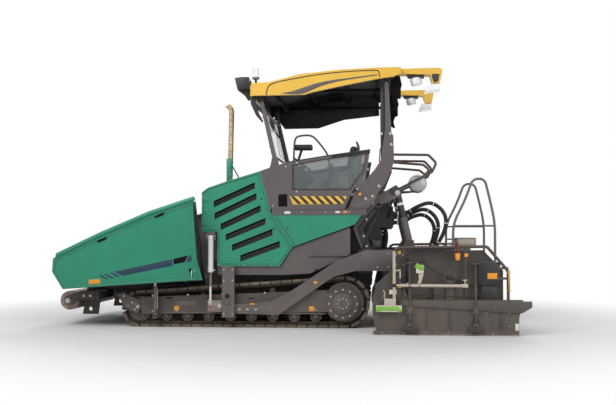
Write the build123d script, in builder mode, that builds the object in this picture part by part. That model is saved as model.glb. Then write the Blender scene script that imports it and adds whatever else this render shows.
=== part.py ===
from build123d import *
from math import cos, pi, radians, sin
import os

# Tracked asphalt paver. X runs rearwards, Y to the machine's right, Z up, all in millimetres.
# The origin is on the ground, midway along the machine on its centre line.
# Outlines seen from the side are lists of (x, z); outlines seen from the rear are lists of (y, z).

os.makedirs("parts", exist_ok=True)

SIDES = (("left", -1), ("right", 1))

# widths, as distances from the centre line
FRAME_HALF = 780         # outer face of the main frame's side plates
WALL = 40                # thickness of the main frame's side plates
TRACK_INNER = 865
TRACK_OUTER = 1170
BODY_SKIN = 1165         # inner face of hood and cab side panels
BODY_HALF = 1200         # outer face of hood and cab side panels
ARM_INNER = 1206
ARM_OUTER = 1256
GUIDE_INNER = 1264       # outer tow guides and tow blocks
GUIDE_OUTER = 1316
ROOF_HALF = 1250
SCREED_HALF = 1250       # basic screed
PLATE_INNER = 1940       # side plates, with the extensions 700 mm out
PLATE_OUTER = 1980

# track
SHOE_THICK = 50
BELT_THICK = 30
SHOE_GAP = 14
SHOE_COUNT = 50
IDLER = (-2182, 220)     # centre x, radius to the belt's outer face
SPROCKET = (870, 330)
ROLLER_RADIUS = 85

# pivots, as (x, z)
WING_HINGE_Y = 800
WING_HINGE_Z = 640
TOW_PIN = (-954, 325)
LIFT_TOP = (1661, 1993)
LIFT_EYE = (1836, 1248)
ROOF_REAR_PIVOT = (1520, 2780)
ROOF_REAR_TOP = (1500, 3640)
ROOF_FRONT_PIVOT = (-165, 2490)
ROOF_FRONT_TOP = (-372, 3390)
# wing cylinders work in one plane across the machine; pivots as (distance from the centre line, z)
WING_CYLINDER_X = -1915
WING_CYLINDER_FOOT = (1290, 195)
WING_CYLINDER_EYE = (1300, 668)
DOOR_EDGE_X = -1225
DOOR_HINGE = (-1222, 1206.5)   # x and distance from the centre line
AUGER = (1465, 420)
AUGER_RADIUS = 200
PIN_PLAY = 0.4


def across(side, inner, outer):
    """The (low, high) y values between two distances from the centre line, on one side."""
    return tuple(sorted((side * inner, side * outer)))


def block(x_range, y_range, z_range, mode=Mode.ADD):
    """A box between two values on each axis."""
    low = Vector(x_range[0], y_range[0], z_range[0])
    high = Vector(x_range[1], y_range[1], z_range[1])
    size = high - low
    with Locations((low + high) * 0.5):
        Box(size.X, size.Y, size.Z, mode=mode)


def side_slab(outline, y_range, mode=Mode.ADD):
    """A slab with an (x, z) outline, between two y values."""
    with BuildSketch(Plane.XZ.offset(-y_range[1]), mode=Mode.PRIVATE) as face:
        with BuildLine():
            Polyline(*outline, close=True)
        make_face()
    extrude(face.sketch, amount=y_range[1] - y_range[0], mode=mode)


def cross_slab(outline, x_range, mode=Mode.ADD):
    """A slab with a (y, z) outline, between two x values."""
    with BuildSketch(Plane.YZ.offset(x_range[0]), mode=Mode.PRIVATE) as face:
        with BuildLine():
            Polyline(*outline, close=True)
        make_face()
    extrude(face.sketch, amount=x_range[1] - x_range[0], mode=mode)


def rod(start, end, radius, mode=Mode.ADD):
    """A round bar between two points."""
    span = Vector(*end) - Vector(*start)
    with BuildSketch(Plane(origin=start, z_dir=span), mode=Mode.PRIVATE) as disc:
        Circle(radius)
    extrude(disc.sketch, amount=span.length, mode=mode)


def disc(x, z, y_range, radius, mode=Mode.ADD):
    """A round plate or pin along Y."""
    rod((x, y_range[0], z), (x, y_range[1], z), radius, mode)


def bent_tube(points, radius, bend):
    """A round tube along straight runs joined by bends."""
    with BuildLine(mode=Mode.PRIVATE) as path:
        FilletPolyline(*points, radius=bend)
    with BuildSketch(Plane(origin=path.line @ 0, z_dir=path.line % 0), mode=Mode.PRIVATE) as round_end:
        Circle(radius)
    sweep(round_end.sketch, path=path.line)


def corner_radii(points):
    """The largest tangent arc that each corner's two runs leave room for."""
    radii = []
    for before, corner, after in zip(points, points[1:], points[2:]):
        run_in = Vector(*corner) - Vector(*before)
        run_out = Vector(*after) - Vector(*corner)
        half_turn = radians(run_in.get_angle(run_out) / 2)
        radii.append(0.45 * min(run_in.length, run_out.length) * cos(half_turn) / sin(half_turn))
    return radii


def lowered(outline, depth):
    """The same outline moved down."""
    return [(x, z - depth) for x, z in outline]


def along(start, end, distance):
    """The point at a distance from start towards end."""
    return tuple(Vector(*start) + (Vector(*end) - Vector(*start)).normalized() * distance)


def save(builder, label):
    builder.part.label = label
    export_step(builder.part, f"parts/{label}.step")


# ---------------------------------------------------------------- chassis

with BuildPart() as main_frame:
    side_slab([(-2700, 400), (-2380, 330), (1150, 330), (1230, 430), (1250, 640), (1280, 700), (1280, 1000),
               (-1180, 1000), (-1180, 598), (-2700, 598)], (FRAME_HALF - WALL, FRAME_HALF))
    # uprights that carry the lift brackets
    block((1080, 1280), (FRAME_HALF, 1000), (800, 1146))
    # mounts that carry the track frames
    for mount_x in (-1500, 300):
        block((mount_x, mount_x + 260), (FRAME_HALF, 900), (290, 420))
    mirror(about=Plane.XZ)
    inner = (-FRAME_HALF + WALL, FRAME_HALF - WALL)
    block((-2380, 1150), inner, (330, 350))
    block((-2700, 1250), inner, (578, 598))
    block((-1180, 1280), inner, (980, 1000))
    # nose that carries the push bar's pin
    block((-2700, -2680), inner, (420, 578))
    block((-2830, -2700), (-160, 160), (350, 385))
    block((-2830, -2700), (-160, 160), (535, 570))
    rod((-2760, 0, 350), (-2760, 0, 570), 40)
save(main_frame, "main_frame")

with BuildPart() as hopper_floor:
    # sills beside the conveyors, with the wings' hinge pins outside them
    block((-3060, -1185), (600, 776), (598, 632))
    rod((-3040, WING_HINGE_Y, WING_HINGE_Z), (-1320, WING_HINGE_Y, WING_HINGE_Z), 13)
    for lug_x in (-3052, -2625, -2195, -1765, -1340):
        block((lug_x, lug_x + 30), (770, 824), (600, 668))
    # cantilevered brackets ahead of the main frame
    block((-3060, -2700), (660, 760), (532, 598))
    mirror(about=Plane.XZ)
    # front lip of the hopper
    block((-3120, -3060), (-776, 776), (535, 720))
save(hopper_floor, "hopper_floor")

with BuildPart() as conveyors:
    # flat decks with chain strands and slats, and a raised cover down the middle
    block((-3060, 1270), (80, 598), (600, 612))
    for strand_y in (110, 540):
        block((-3040, 1275), (strand_y, strand_y + 40), (612, 650))
    for slat in range(14):
        block((-2960 + slat * 320, -2900 + slat * 320), (100, 590), (612, 645))
    mirror(about=Plane.XZ)
    block((-3060, 1270), (-80, 80), (600, 680))
save(conveyors, "conveyors")


def belt_point(distance, offset):
    """A point on the track belt, measured round from under the idler, moved outwards by offset."""
    idler_x, idler_radius = IDLER
    sprocket_x, sprocket_radius = SPROCKET
    run = sprocket_x - idler_x
    tilt = 2 * Vector(run, sprocket_radius - idler_radius).get_angle(Vector(1, 0))
    top_angle = radians(90 + tilt)
    rear_arc = sprocket_radius * (top_angle + pi / 2)
    if distance <= run:
        return idler_x + distance, SHOE_THICK - offset
    distance -= run
    if distance <= rear_arc:
        angle = distance / sprocket_radius - pi / 2
        reach = sprocket_radius + offset
        return sprocket_x + reach * cos(angle), sprocket_radius + SHOE_THICK + reach * sin(angle)
    distance -= rear_arc
    if distance <= run:
        reach = sprocket_radius + offset
        x = sprocket_x + reach * cos(top_angle) - distance * sin(top_angle)
        return x, sprocket_radius + SHOE_THICK + reach * sin(top_angle) + distance * cos(top_angle)
    distance -= run
    angle = top_angle + distance / idler_radius
    reach = idler_radius + offset
    return idler_x + reach * cos(angle), idler_radius + SHOE_THICK + reach * sin(angle)


def belt_length():
    idler_x, idler_radius = IDLER
    sprocket_x, sprocket_radius = SPROCKET
    run = sprocket_x - idler_x
    tilt = radians(2 * Vector(run, sprocket_radius - idler_radius).get_angle(Vector(1, 0)))
    return 2 * run + sprocket_radius * (pi + tilt) + idler_radius * (pi - tilt)


SHOE_PITCH = belt_length() / SHOE_COUNT
SHOE_CHAMFER = 12
outer_line = []
inner_line = []
for shoe in range(SHOE_COUNT):
    start = shoe * SHOE_PITCH + SHOE_GAP / 2
    end = (shoe + 1) * SHOE_PITCH - SHOE_GAP / 2
    outer_line += [belt_point(start, 0), belt_point(start + SHOE_CHAMFER, SHOE_THICK),
                   belt_point(end - SHOE_CHAMFER, SHOE_THICK), belt_point(end, 0)]
    inner_line += [belt_point(start, -BELT_THICK), belt_point((start + end) / 2, -BELT_THICK)]

for name, side in SIDES:
    with BuildPart() as track:
        side_slab(outer_line, across(side, TRACK_INNER, TRACK_OUTER))
        side_slab(inner_line, across(side, TRACK_INNER, TRACK_OUTER), Mode.SUBTRACT)
    save(track, f"track_{name}")

ROLLER_Z = SHOE_THICK + BELT_THICK + ROLLER_RADIUS + 1
ROLLER_XS = [-1790 + 320 * index for index in range(8)]
with BuildPart() as track_frames:
    # idler, sprocket and rollers
    disc(IDLER[0], IDLER[1] + SHOE_THICK, (930, 1105), 184)
    disc(SPROCKET[0], SPROCKET[1] + SHOE_THICK, (905, 1165), 290)
    for roller_x in ROLLER_XS:
        disc(roller_x, ROLLER_Z, (935, 1100), ROLLER_RADIUS)
    # beam above the rollers, with a yoke for the idler and a hub plate for the drive
    side_slab([(-1985, 245), (640, 245), (640, 425), (-1985, 405)], (900, 1110))
    side_slab([(-2230, 245), (-1900, 275), (-1900, 395), (-2230, 330)], (1112, 1160))
    block((-1985, -1900), (1108, 1114), (280, 390))
    for carrier_x, carrier_z in ((-1250, 468), (-200, 544)):
        disc(carrier_x, carrier_z, (960, 1080), 40)
        block((carrier_x - 15, carrier_x + 15), (935, 1000), (400, carrier_z - 10))
    # outer cover with access slots and roller ends showing under it
    side_slab([(-2174, 442), (-728, 494), (621, 560), (620, 238), (-2142, 190)], (1176, 1190))
    for spacer_x in (-1700, -700, 300):
        block((spacer_x, spacer_x + 120), (1108, 1180), (290, 400))
    for slot_x in (-1790, -1180, -560, 60):
        block((slot_x, slot_x + 110), (1170, 1200), (420, 440), Mode.SUBTRACT)
    # drive cover
    disc(855, 360, (1176, 1200), 240)
    block((540, 700), (1176, 1190), (250, 520))
    # idler scraper plate
    side_slab([(-2524, 470), (-2433, 515), (-2326, 456), (-2174, 400), (-2160, 278), (-2218, 200),
               (-2386, 277)],
              (1176, 1190))
    # forks for the wing cylinders' feet
    for cheek_x in (WING_CYLINDER_X - 30, WING_CYLINDER_X + 18):
        block((cheek_x, cheek_x + 12), (1185, 1320), (150, 222))
    block((WING_CYLINDER_X - 30, WING_CYLINDER_X + 30), (1185, 1320), (138, 158))
    foot_y, foot_z = WING_CYLINDER_FOOT
    rod((WING_CYLINDER_X - 30, foot_y, foot_z), (WING_CYLINDER_X + 30, foot_y, foot_z), 10)
    mirror(about=Plane.XZ)
save(track_frames, "track_frames")

# ---------------------------------------------------------------- body

HOOD_TOP = [(-1245, 2003), (-1152, 2071), (-821, 2182), (-372, 2313)]
HOOD_SIDE = [(-1245, 1412), (-1245, 2003), (-1152, 2071), (-821, 2182), (-372, 2313), (-225, 1751),
             (-197, 1662), (106, 1187), (-78, 907), (-1010, 907), (-1010, 1412)]
DOOR_SIDE = [(DOOR_EDGE_X, 1440), (DOOR_EDGE_X, 1975), (-1145, 2034), (-815, 2143), (-402, 2262),
             (-256, 1751), (-229, 1655), (68, 1190), (-94, 940), (-983, 940), (-983, 1440)]
DOOR_GAP = 6

with BuildPart() as hood:
    side_slab(HOOD_SIDE, (BODY_SKIN, BODY_HALF))
    with BuildSketch(Plane.XZ.offset(-BODY_HALF - 5), mode=Mode.PRIVATE) as door_opening:
        with BuildLine():
            Polyline(*DOOR_SIDE, close=True)
        make_face()
        offset(amount=DOOR_GAP, kind=Kind.INTERSECTION)
    extrude(door_opening.sketch, amount=60, mode=Mode.SUBTRACT)
    mirror(about=Plane.XZ)
save(hood, "hood")

with BuildPart() as hood_top:
    inner = (-BODY_SKIN, BODY_SKIN)
    side_slab(HOOD_TOP + lowered(HOOD_TOP, 30)[::-1], inner)
    block((-1245, -1220), inner, (1412, 1975))
    block((-1220, -1010), inner, (1412, 1432))
    block((-1010, -990), inner, (1002, 1432))
    block((-400, -380), (-1100, 1100), (1700, 2270))
save(hood_top, "hood_top")

with BuildPart() as engine_block:
    block((-940, 40), (-430, 430), (1004, 1640))
    block((-960, -430), (-560, 560), (1250, 1560))
save(engine_block, "engine_block")

with BuildPart() as side_tanks:
    side_slab([(-1010, 778), (-6, 778), (371, 801), (960, 1081), (960, 1480), (108, 1175), (-66, 905),
               (-1010, 905)],
              (FRAME_HALF, BODY_SKIN))
    mirror(about=Plane.XZ)
save(side_tanks, "side_tanks")

with BuildPart() as side_panels:
    side_slab([(-190, 1659), (1132, 1659), (1029, 1522), (110, 1190)], (1150, BODY_HALF))
    mirror(about=Plane.XZ)
save(side_panels, "side_panels")

with BuildPart() as rear_body:
    # closed housing of tank and pumps between the side tanks
    block((60, 1280), (-FRAME_HALF, FRAME_HALF), (1002, 1658))
    block((1280, 1290), (-700, 700), (1062, 1600))
    # valve blocks on its rear face
    for low_y, high_y, top_z in ((-670, -330, 1560), (-280, -40, 1480), (20, 300, 1540), (350, 660, 1500)):
        block((1290, 1410), (low_y, high_y), (1150, top_z))
    # pump and distributor above them, that the heating hoses leave from
    block((1270, 1600), (-690, -340), (1480, 1800))
    block((1270, 1560), (-340, 120), (1500, 1760))
    block((1270, 1590), (120, 690), (1460, 1780))
save(rear_body, "rear_body")

with BuildPart() as deck:
    block((-195, 1120), (-BODY_HALF, BODY_HALF), (1660, 1750))
    block((1120, 1200), (1030, BODY_HALF), (1660, 1750))
    mirror(about=Plane.XZ)
save(deck, "deck")

CAB_SIDE = [(24, 2442), (69, 2447), (623, 2537), (1256, 2623), (1211, 2306), (984, 1992), (880, 1752),
            (45, 1752)]
SIDE_WINDOW = [(105, 2408), (623, 2497), (1208, 2575), (1170, 2318), (965, 2030), (105, 2030)]
with BuildPart() as cab_sides:
    side_slab([(-371, 2315), (-205, 2372), (24, 2442), (45, 1752), (-224, 1752)], (BODY_SKIN, BODY_HALF))
    side_slab(CAB_SIDE, (BODY_SKIN, BODY_HALF))
    side_slab(SIDE_WINDOW, (BODY_SKIN - 5, BODY_HALF + 5), Mode.SUBTRACT)
    # double rail along the side panel's top edge
    for rail_z in (2581, 2612):
        rod((690, 1206, rail_z - 77), (1256, 1206, rail_z), 12)
    # warning board under the window
    side_slab([(69, 1940), (917, 1937), (858, 1822), (119, 1815)], (BODY_HALF, BODY_HALF + 5))
    # lugs on the front wall that hold the roof's front posts
    for lug in ((1050, 1062), (1133, 1145)):
        side_slab([(-230, 2372), (-100, 2372), (-120, 2520), (-200, 2520)], lug)
    disc(*ROOF_FRONT_PIVOT, (1050, 1145), 16)
    mirror(about=Plane.XZ)
    # front wall of the platform, between the side panels
    block((-205, -180), (-BODY_SKIN, BODY_SKIN), (1752, 2372))
    block((-235, -95), (-BODY_SKIN, BODY_SKIN), (2372, 2384))
save(cab_sides, "cab_sides")

with BuildPart() as side_glass:
    side_slab(SIDE_WINDOW, (1178, 1186))
    mirror(about=Plane.XZ)
save(side_glass, "side_glass")

with BuildPart() as console:
    # pedestal and sloping control desk across the front of the platform
    side_slab([(-60, 1752), (190, 1752), (190, 2150), (330, 2300), (300, 2360), (-60, 2420)], (-520, 520))
    # steering column and the hoop over the desk
    rod((120, -300, 2390), (180, -300, 2470), 18)
    with Locations((60, 330, 2440)):
        Box(180, 260, 90)
save(console, "console")

SEAT_Y = 790
with BuildPart() as seats:
    block((620, 900), (SEAT_Y - 110, SEAT_Y + 110), (1752, 2080))
    block((520, 980), (SEAT_Y - 240, SEAT_Y + 240), (2080, 2210))
    side_slab([(900, 2210), (1000, 2190), (1090, 2700), (1040, 2780), (980, 2760)],
              (SEAT_Y - 230, SEAT_Y + 230))
    for arm_y in (SEAT_Y - 275, SEAT_Y + 225):
        block((600, 960), (arm_y, arm_y + 50), (2330, 2390))
        block((900, 960), (arm_y, arm_y + 50), (2180, 2330))
    mirror(about=Plane.XZ)
save(seats, "seats")

PILLAR = [(1476, 2905), (1560, 2905), (1600, 2823), (1608, 2441), (1500, 2171), (1232, 1778), (1200, 1752),
          (935, 1752), (1030, 1994), (1322, 2329), (1412, 2467)]
with BuildPart() as rear_pillars:
    side_slab(PILLAR, (1060, 1155))
    # slot that takes the roof's rear post
    block((1440, 1620), (1085, 1130), (2690, 2910), Mode.SUBTRACT)
    disc(*ROOF_REAR_PIVOT, (1060, 1155), 22)
    mirror(about=Plane.XZ)
save(rear_pillars, "rear_pillars")

EXHAUST_Y = -500
with BuildPart() as exhaust:
    bent_tube([(-943, EXHAUST_Y, 2160), (-927, EXHAUST_Y, 3330), (-985, EXHAUST_Y, 3400)], 44, 46)
    disc(-940, 2330, (EXHAUST_Y - 75, EXHAUST_Y + 75), 30)
save(exhaust, "exhaust")

LIFT_BRACKET = [(1133, 1146), (1280, 1146), (1135, 1455), (1400, 1809), (1600, 1900), (1718, 1945),
                (1718, 2040), (1636, 2110), (1327, 1928), (1000, 1470)]
with BuildPart() as lift_brackets:
    side_slab(LIFT_BRACKET, (880, 1020))
    # fork that takes the cylinder's upper eye
    block((1585, 1730), (895, 1005), (1850, 2120), Mode.SUBTRACT)
    disc(*LIFT_TOP, (880, 1020), 24)
    mirror(about=Plane.XZ)
save(lift_brackets, "lift_brackets")

RAIL_Y = 600
with BuildPart() as rear_rails:
    bent_tube([(1500, RAIL_Y, 2260), (1560, RAIL_Y, 2600), (2140, RAIL_Y, 2590), (2262, RAIL_Y, 2465),
               (2194, RAIL_Y, 2328), (1480, RAIL_Y, 1960)], 19, 60)
    bent_tube([(1590, RAIL_Y, 2480), (2060, RAIL_Y, 2440), (2160, RAIL_Y, 2359), (2060, RAIL_Y, 2262)],
              19, 40)
    mirror(about=Plane.XZ)
save(rear_rails, "rear_rails")

LEVEL_X = -1090
LEVEL_Y = 1290
with BuildPart() as tow_guides:
    block((-915, -735), (GUIDE_INNER, GUIDE_OUTER), (165, 905))
    block((-915, -735), (BODY_SKIN, GUIDE_INNER), (835, 904))
    disc(-840, 470, (GUIDE_INNER, GUIDE_OUTER), 38, Mode.SUBTRACT)
    # barrels of the levelling cylinders, hung from their own brackets ahead of the guides
    rod((LEVEL_X, LEVEL_Y, 820), (LEVEL_X, LEVEL_Y, 1362), 36)
    rod((LEVEL_X, LEVEL_Y, 815), (LEVEL_X, LEVEL_Y, 1320), 20, Mode.SUBTRACT)
    block((LEVEL_X - 60, LEVEL_X + 60), (1100, LEVEL_Y + 30), (1362, 1408))
    block((LEVEL_X - 60, LEVEL_X + 60), (1100, BODY_SKIN), (1000, 1362))
    block((LEVEL_X - 60, -1010), (1100, BODY_SKIN), (1000, 1100))
    mirror(about=Plane.XZ)
save(tow_guides, "tow_guides")

with BuildPart() as auger_frame:
    # gearbox in the middle, hung from a cross beam on the rear body
    block((1345, 1560), (-118, 118), (300, 640))
    block((1345, 1440), (-90, 90), (640, 1058))
    block((1280, 1440), (-700, 700), (1004, 1058))
    for stub_side in (-1, 1):
        disc(*AUGER, across(stub_side, 118, 190), 29)
save(auger_frame, "auger_frame")

# ---------------------------------------------------------------- front

with BuildPart() as push_beam:
    block((-3130, -2840), (-1080, 1080), (395, 520))
    block((-2860, -2720), (-150, 150), (390, 530))
    rod((-2760, 0, 380), (-2760, 0, 540), 40 + PIN_PLAY, Mode.SUBTRACT)
    for fork_y in (-1105, -35, 1035):
        side_slab([(-3360, 330), (-3250, 330), (-3130, 395), (-2900, 395), (-2900, 520), (-3130, 520),
                   (-3360, 430)],
                  (fork_y, fork_y + 70))
    for stub_low, stub_high in ((-1035, -1000), (-70, -35), (35, 70), (1000, 1035)):
        disc(-3305, 375, (stub_low, stub_high), 24)
    # tie-down feet with an eye
    for foot_y in (780, -820):
        side_slab([(-3170, 150), (-2930, 150), (-2900, 395), (-3130, 395)], (foot_y, foot_y + 40))
        disc(-3050, 230, (foot_y, foot_y + 40), 32, Mode.SUBTRACT)
save(push_beam, "push_beam")

for name, side in SIDES:
    with BuildPart() as push_roller:
        disc(-3305, 375, across(side, 42, 1028), 143)
        disc(-3305, 375, across(side, 42, 75), 25, Mode.SUBTRACT)
        disc(-3305, 375, across(side, 995, 1028), 25, Mode.SUBTRACT)
    save(push_roller, f"push_roller_{name}")

WING_WALL = [(-3272, 568), (-3363, 727), (-3420, 828), (-3396, 1018), (-3322, 1076), (-2655, 1382),
             (-1918, 1685), (-1289, 1886), (-1252, 1000), (-1180, 714)]
WING_TOP = [(-3322, 1076), (-2655, 1382), (-1918, 1685), (-1289, 1886)]
WING_BASE_Y = 1400
WING_TOP_Y = 1620
WING_LEAN = (WING_TOP_Y - WING_BASE_Y) / (1886 - 568)


def wing_y(z):
    """Distance of the wing wall's inner face from the centre line at a height."""
    return WING_BASE_Y + (z - 568) * WING_LEAN


for name, side in SIDES:
    with BuildPart() as wing:
        # leaning wall: the wall's outline cut by two leaning planes
        side_slab(WING_WALL, across(side, WING_BASE_Y - 10, WING_TOP_Y + 60))
        lean = [(side * wing_y(500), 500), (side * wing_y(1950), 1950), (side * (wing_y(1950) + 32), 1950),
                (side * (wing_y(500) + 32), 500)]
        cross_slab(lean, (-3500, -1100), Mode.INTERSECT)
        # floor from the hinge out to the wall
        floor_edge = [(side * 812, 628), (side * 1425, 722), (side * 1425, 746), (side * 812, 652)]
        cross_slab(floor_edge, (-3290, -1262))
        # lugs under the floor for the cylinder's eye
        for lug_x in (WING_CYLINDER_X - 47, WING_CYLINDER_X + 32):
            cross_slab([(side * 1270, 655), (side * 1330, 655), (side * 1340, 712), (side * 1260, 700)],
                       (lug_x, lug_x + 15))
        # rear wall
        rear_edge = [(side * 830, 650), (side * 1425, 740), (side * (wing_y(1850) + 16), 1850),
                     (side * (wing_y(1850) - 60), 1850)]
        cross_slab(rear_edge, (-1286, -1262))
        # rolled rim along the top
        for first, second in zip(WING_TOP, WING_TOP[1:]):
            rod((first[0], side * (wing_y(first[1]) + 20), first[1]),
                (second[0], side * (wing_y(second[1]) + 20), second[1]), 34)
        # hinge knuckles between the floor's lugs
        for knuckle_x in (-3015, -2585, -2155, -1730):
            rod((knuckle_x, side * WING_HINGE_Y, WING_HINGE_Z),
                (knuckle_x + 380, side * WING_HINGE_Y, WING_HINGE_Z),
                24)
        rod((-3060, side * WING_HINGE_Y, WING_HINGE_Z), (-1290, side * WING_HINGE_Y, WING_HINGE_Z),
            13 + PIN_PLAY, Mode.SUBTRACT)
        for lug_x in (-3052, -2625, -2195, -1765, -1340):
            block((lug_x - 8, lug_x + 38), across(side, 740, 850), (580, 700), Mode.SUBTRACT)
    save(wing, f"wing_{name}")

# wing cylinders, from the track frame's forks to the wing floors
for name, side in SIDES:
    foot = (WING_CYLINDER_X, side * WING_CYLINDER_FOOT[0], WING_CYLINDER_FOOT[1])
    eye = (WING_CYLINDER_X, side * WING_CYLINDER_EYE[0], WING_CYLINDER_EYE[1])
    reach = (Vector(*eye) - Vector(*foot)).length
    with BuildPart() as barrel:
        rod(along(foot, eye, 46), along(foot, eye, reach - 48), 28)
        rod(foot, along(foot, eye, 50), 9)
        rod((foot[0] - 12, foot[1], foot[2]), (foot[0] + 12, foot[1], foot[2]), 24)
        rod((foot[0] - 13, foot[1], foot[2]), (foot[0] + 13, foot[1], foot[2]), 10 + PIN_PLAY,
            Mode.SUBTRACT)
        rod(along(foot, eye, 52), along(foot, eye, reach), 15.5, Mode.SUBTRACT)
    save(barrel, f"wing_cylinder_{name}")
    with BuildPart() as piston_rod:
        rod(along(foot, eye, 55), along(foot, eye, reach - 10), 15)
        rod((eye[0] - 22, eye[1], eye[2]), (eye[0] + 22, eye[1], eye[2]), 20)
    save(piston_rod, f"wing_rod_{name}")

# ---------------------------------------------------------------- service doors

# louvre slots, each as left x, left z, right x, right z of its upper edge
LOUVRES = ((-1065, 1872, -450, 2150), (-1054, 1691, -424, 1990), (-960, 1533, -362, 1810),
           (-884, 1377, -290, 1620), (-790, 1222, -185, 1460), (-664, 1067, -75, 1280))
LOUVRE_HEIGHT = 95
for name, side in SIDES:
    with BuildPart() as door:
        skin = across(side, BODY_SKIN, BODY_HALF)
        side_slab(DOOR_SIDE, skin)
        for left_x, left_z, right_x, right_z in LOUVRES:
            top_edge = [(left_x, left_z), (right_x, right_z)]
            side_slab(top_edge + lowered(top_edge, LOUVRE_HEIGHT)[::-1],
                      across(side, BODY_HALF - 22, BODY_HALF + 5),
                      Mode.SUBTRACT)
        for knuckle_z in (1500, 1680, 1860):
            knuckle = (DOOR_HINGE[0], side * DOOR_HINGE[1])
            rod((*knuckle, knuckle_z), (*knuckle, knuckle_z + 70), 7.5)
    save(door, f"door_{name}")

# ---------------------------------------------------------------- augers

FLIGHT_PITCH = 420
FLIGHT_STEPS = 12
for name, side in SIDES:
    with BuildPart() as auger:
        disc(*AUGER, across(side, 128, 1190), 62)
        for step in range(29):
            angle = 360 / FLIGHT_STEPS * step
            start_y = 150 + FLIGHT_PITCH / FLIGHT_STEPS * step
            sector = Plane(origin=(AUGER[0], side * start_y, AUGER[1]),
                           x_dir=(cos(radians(angle)), 0, sin(radians(angle))), z_dir=(0, side, 0))
            half = AUGER_RADIUS * sin(pi / FLIGHT_STEPS)
            with BuildSketch(sector, mode=Mode.PRIVATE) as blade:
                with BuildLine():
                    Polyline((50, -18), (AUGER_RADIUS * cos(pi / FLIGHT_STEPS), -half),
                             (AUGER_RADIUS, 0), (AUGER_RADIUS * cos(pi / FLIGHT_STEPS), half), (50, 18),
                             close=True)
                make_face()
            extrude(blade.sketch, amount=36)
        disc(*AUGER, across(side, 120, 196), 29 + PIN_PLAY, Mode.SUBTRACT)
    save(auger, f"auger_{name}")

# ---------------------------------------------------------------- roof

ROOF_UNDER = [(-517, 3427), (-487, 3432), (286, 3440), (397, 3472), (818, 3558), (1390, 3664), (1605, 3690),
              (1712, 3745)]
ROOF_TOP = [(1712, 3826), (1405, 3826), (818, 3802), (227, 3744), (-234, 3631), (-503, 3620)]
ROOF_HOLLOW = [(-470, 3400), (-470, 3580), (-226, 3592), (232, 3705), (818, 3763), (1405, 3787),
               (1660, 3787), (1660, 3400)]
with BuildPart() as roof:
    side_slab(ROOF_UNDER + ROOF_TOP, (-ROOF_HALF, ROOF_HALF))
    side_slab(ROOF_HOLLOW, (-ROOF_HALF + 60, ROOF_HALF - 60), Mode.SUBTRACT)
    for bracket_side in (-1, 1):
        # brackets over the posts, open between their cheeks
        for cheek in ((1076, 1086), (1129, 1139)):
            side_slab([(1455, 3790), (1545, 3790), (1545, 3620), (1455, 3620)],
                      across(bracket_side, *cheek))
        disc(*ROOF_REAR_TOP, across(bracket_side, 1076, 1139), 18)
        for cheek in ((1054, 1064), (1131, 1141)):
            side_slab([(-430, 3590), (-320, 3590), (-330, 3360), (-420, 3360)],
                      across(bracket_side, *cheek))
        # rear horns that carry lamps
        side_slab([(1690, 3750), (1690, 3826), (2290, 3832), (2320, 3790), (2290, 3620), (2180, 3600),
                   (2140, 3735)],
                  across(bracket_side, 900, 1120))
save(roof, "roof")

with BuildPart() as roof_lamps:
    # work lamps under the rear horns and at the front corners
    side_slab([(2060, 3476), (2287, 3506), (2280, 3598), (2165, 3598), (2105, 3590)], (915, 1105))
    block((-700, -560), (900, 1090), (3560, 3735))
    block((-560, -509), (960, 1030), (3560, 3619))
    mirror(about=Plane.XZ)
    # beacon on its stalk
    rod((-461, -1020, 3624), (-461, -1020, 3720), 14)
    rod((-461, -1020, 3720), (-461, -1020, 3872), 55)
save(roof_lamps, "roof_lamps")

with BuildPart() as roof_rear_posts:
    side_slab([(1500, 2745), (1555, 2745), (1570, 2910), (1528, 3660), (1472, 3660), (1482, 2910)],
              (1090, 1125))
    disc(*ROOF_REAR_PIVOT, (1085, 1130), 22 + PIN_PLAY, Mode.SUBTRACT)
    disc(*ROOF_REAR_TOP, (1085, 1130), 18 + PIN_PLAY, Mode.SUBTRACT)
    mirror(about=Plane.XZ)
save(roof_rear_posts, "roof_rear_posts")

with BuildPart() as roof_front_posts:
    side_slab([(-195, 2465), (-130, 2465), (-135, 2520), (-345, 3405), (-400, 3405), (-200, 2520)],
              (1068, 1127))
    disc(*ROOF_FRONT_PIVOT, (1060, 1130), 16 + PIN_PLAY, Mode.SUBTRACT)
    mirror(about=Plane.XZ)
    for bar_x, bar_z in ((-190, 2560), (-337, 3250)):
        rod((bar_x, -1068, bar_z), (bar_x, 1068, bar_z), 18)
save(roof_front_posts, "roof_front_posts")

with BuildPart() as windscreen:
    side_slab([(-214, 2580), (-206, 2580), (-366, 3270), (-374, 3270)], (-1040, 1040))
save(windscreen, "windscreen")

# ---------------------------------------------------------------- tow points and screed

with BuildPart() as tow_blocks:
    block((-1130, -925), (GUIDE_INNER, 1304), (240, 410))
    rod((LEVEL_X, LEVEL_Y, 405), (LEVEL_X, LEVEL_Y, 1180), 19.5)
    disc(*TOW_PIN, (1202, 1312), 26)
    disc(*TOW_PIN, (1304, 1318), 36)
    mirror(about=Plane.XZ)
save(tow_blocks, "tow_blocks")

with BuildPart() as tow_arms:
    side_slab([(-1010, 300), (-1010, 350), (-980, 385), (-700, 347), (-217, 381), (113, 557), (762, 990),
               (1183, 1144),
               (1591, 1155), (1591, 845), (1039, 844), (711, 754), (-93, 196), (-685, 212), (-960, 262)],
              (ARM_INNER, ARM_OUTER))
    disc(*TOW_PIN, (ARM_INNER - 2, ARM_OUTER + 2), 26 + PIN_PLAY, Mode.SUBTRACT)
    mirror(about=Plane.XZ)
save(tow_arms, "tow_arms")

with BuildPart() as screed_base:
    side_slab([(1700, 70), (1760, 0), (2090, 0), (2090, 380), (1685, 380), (1685, 120)],
              (-SCREED_HALF, SCREED_HALF))
save(screed_base, "screed_base")

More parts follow.
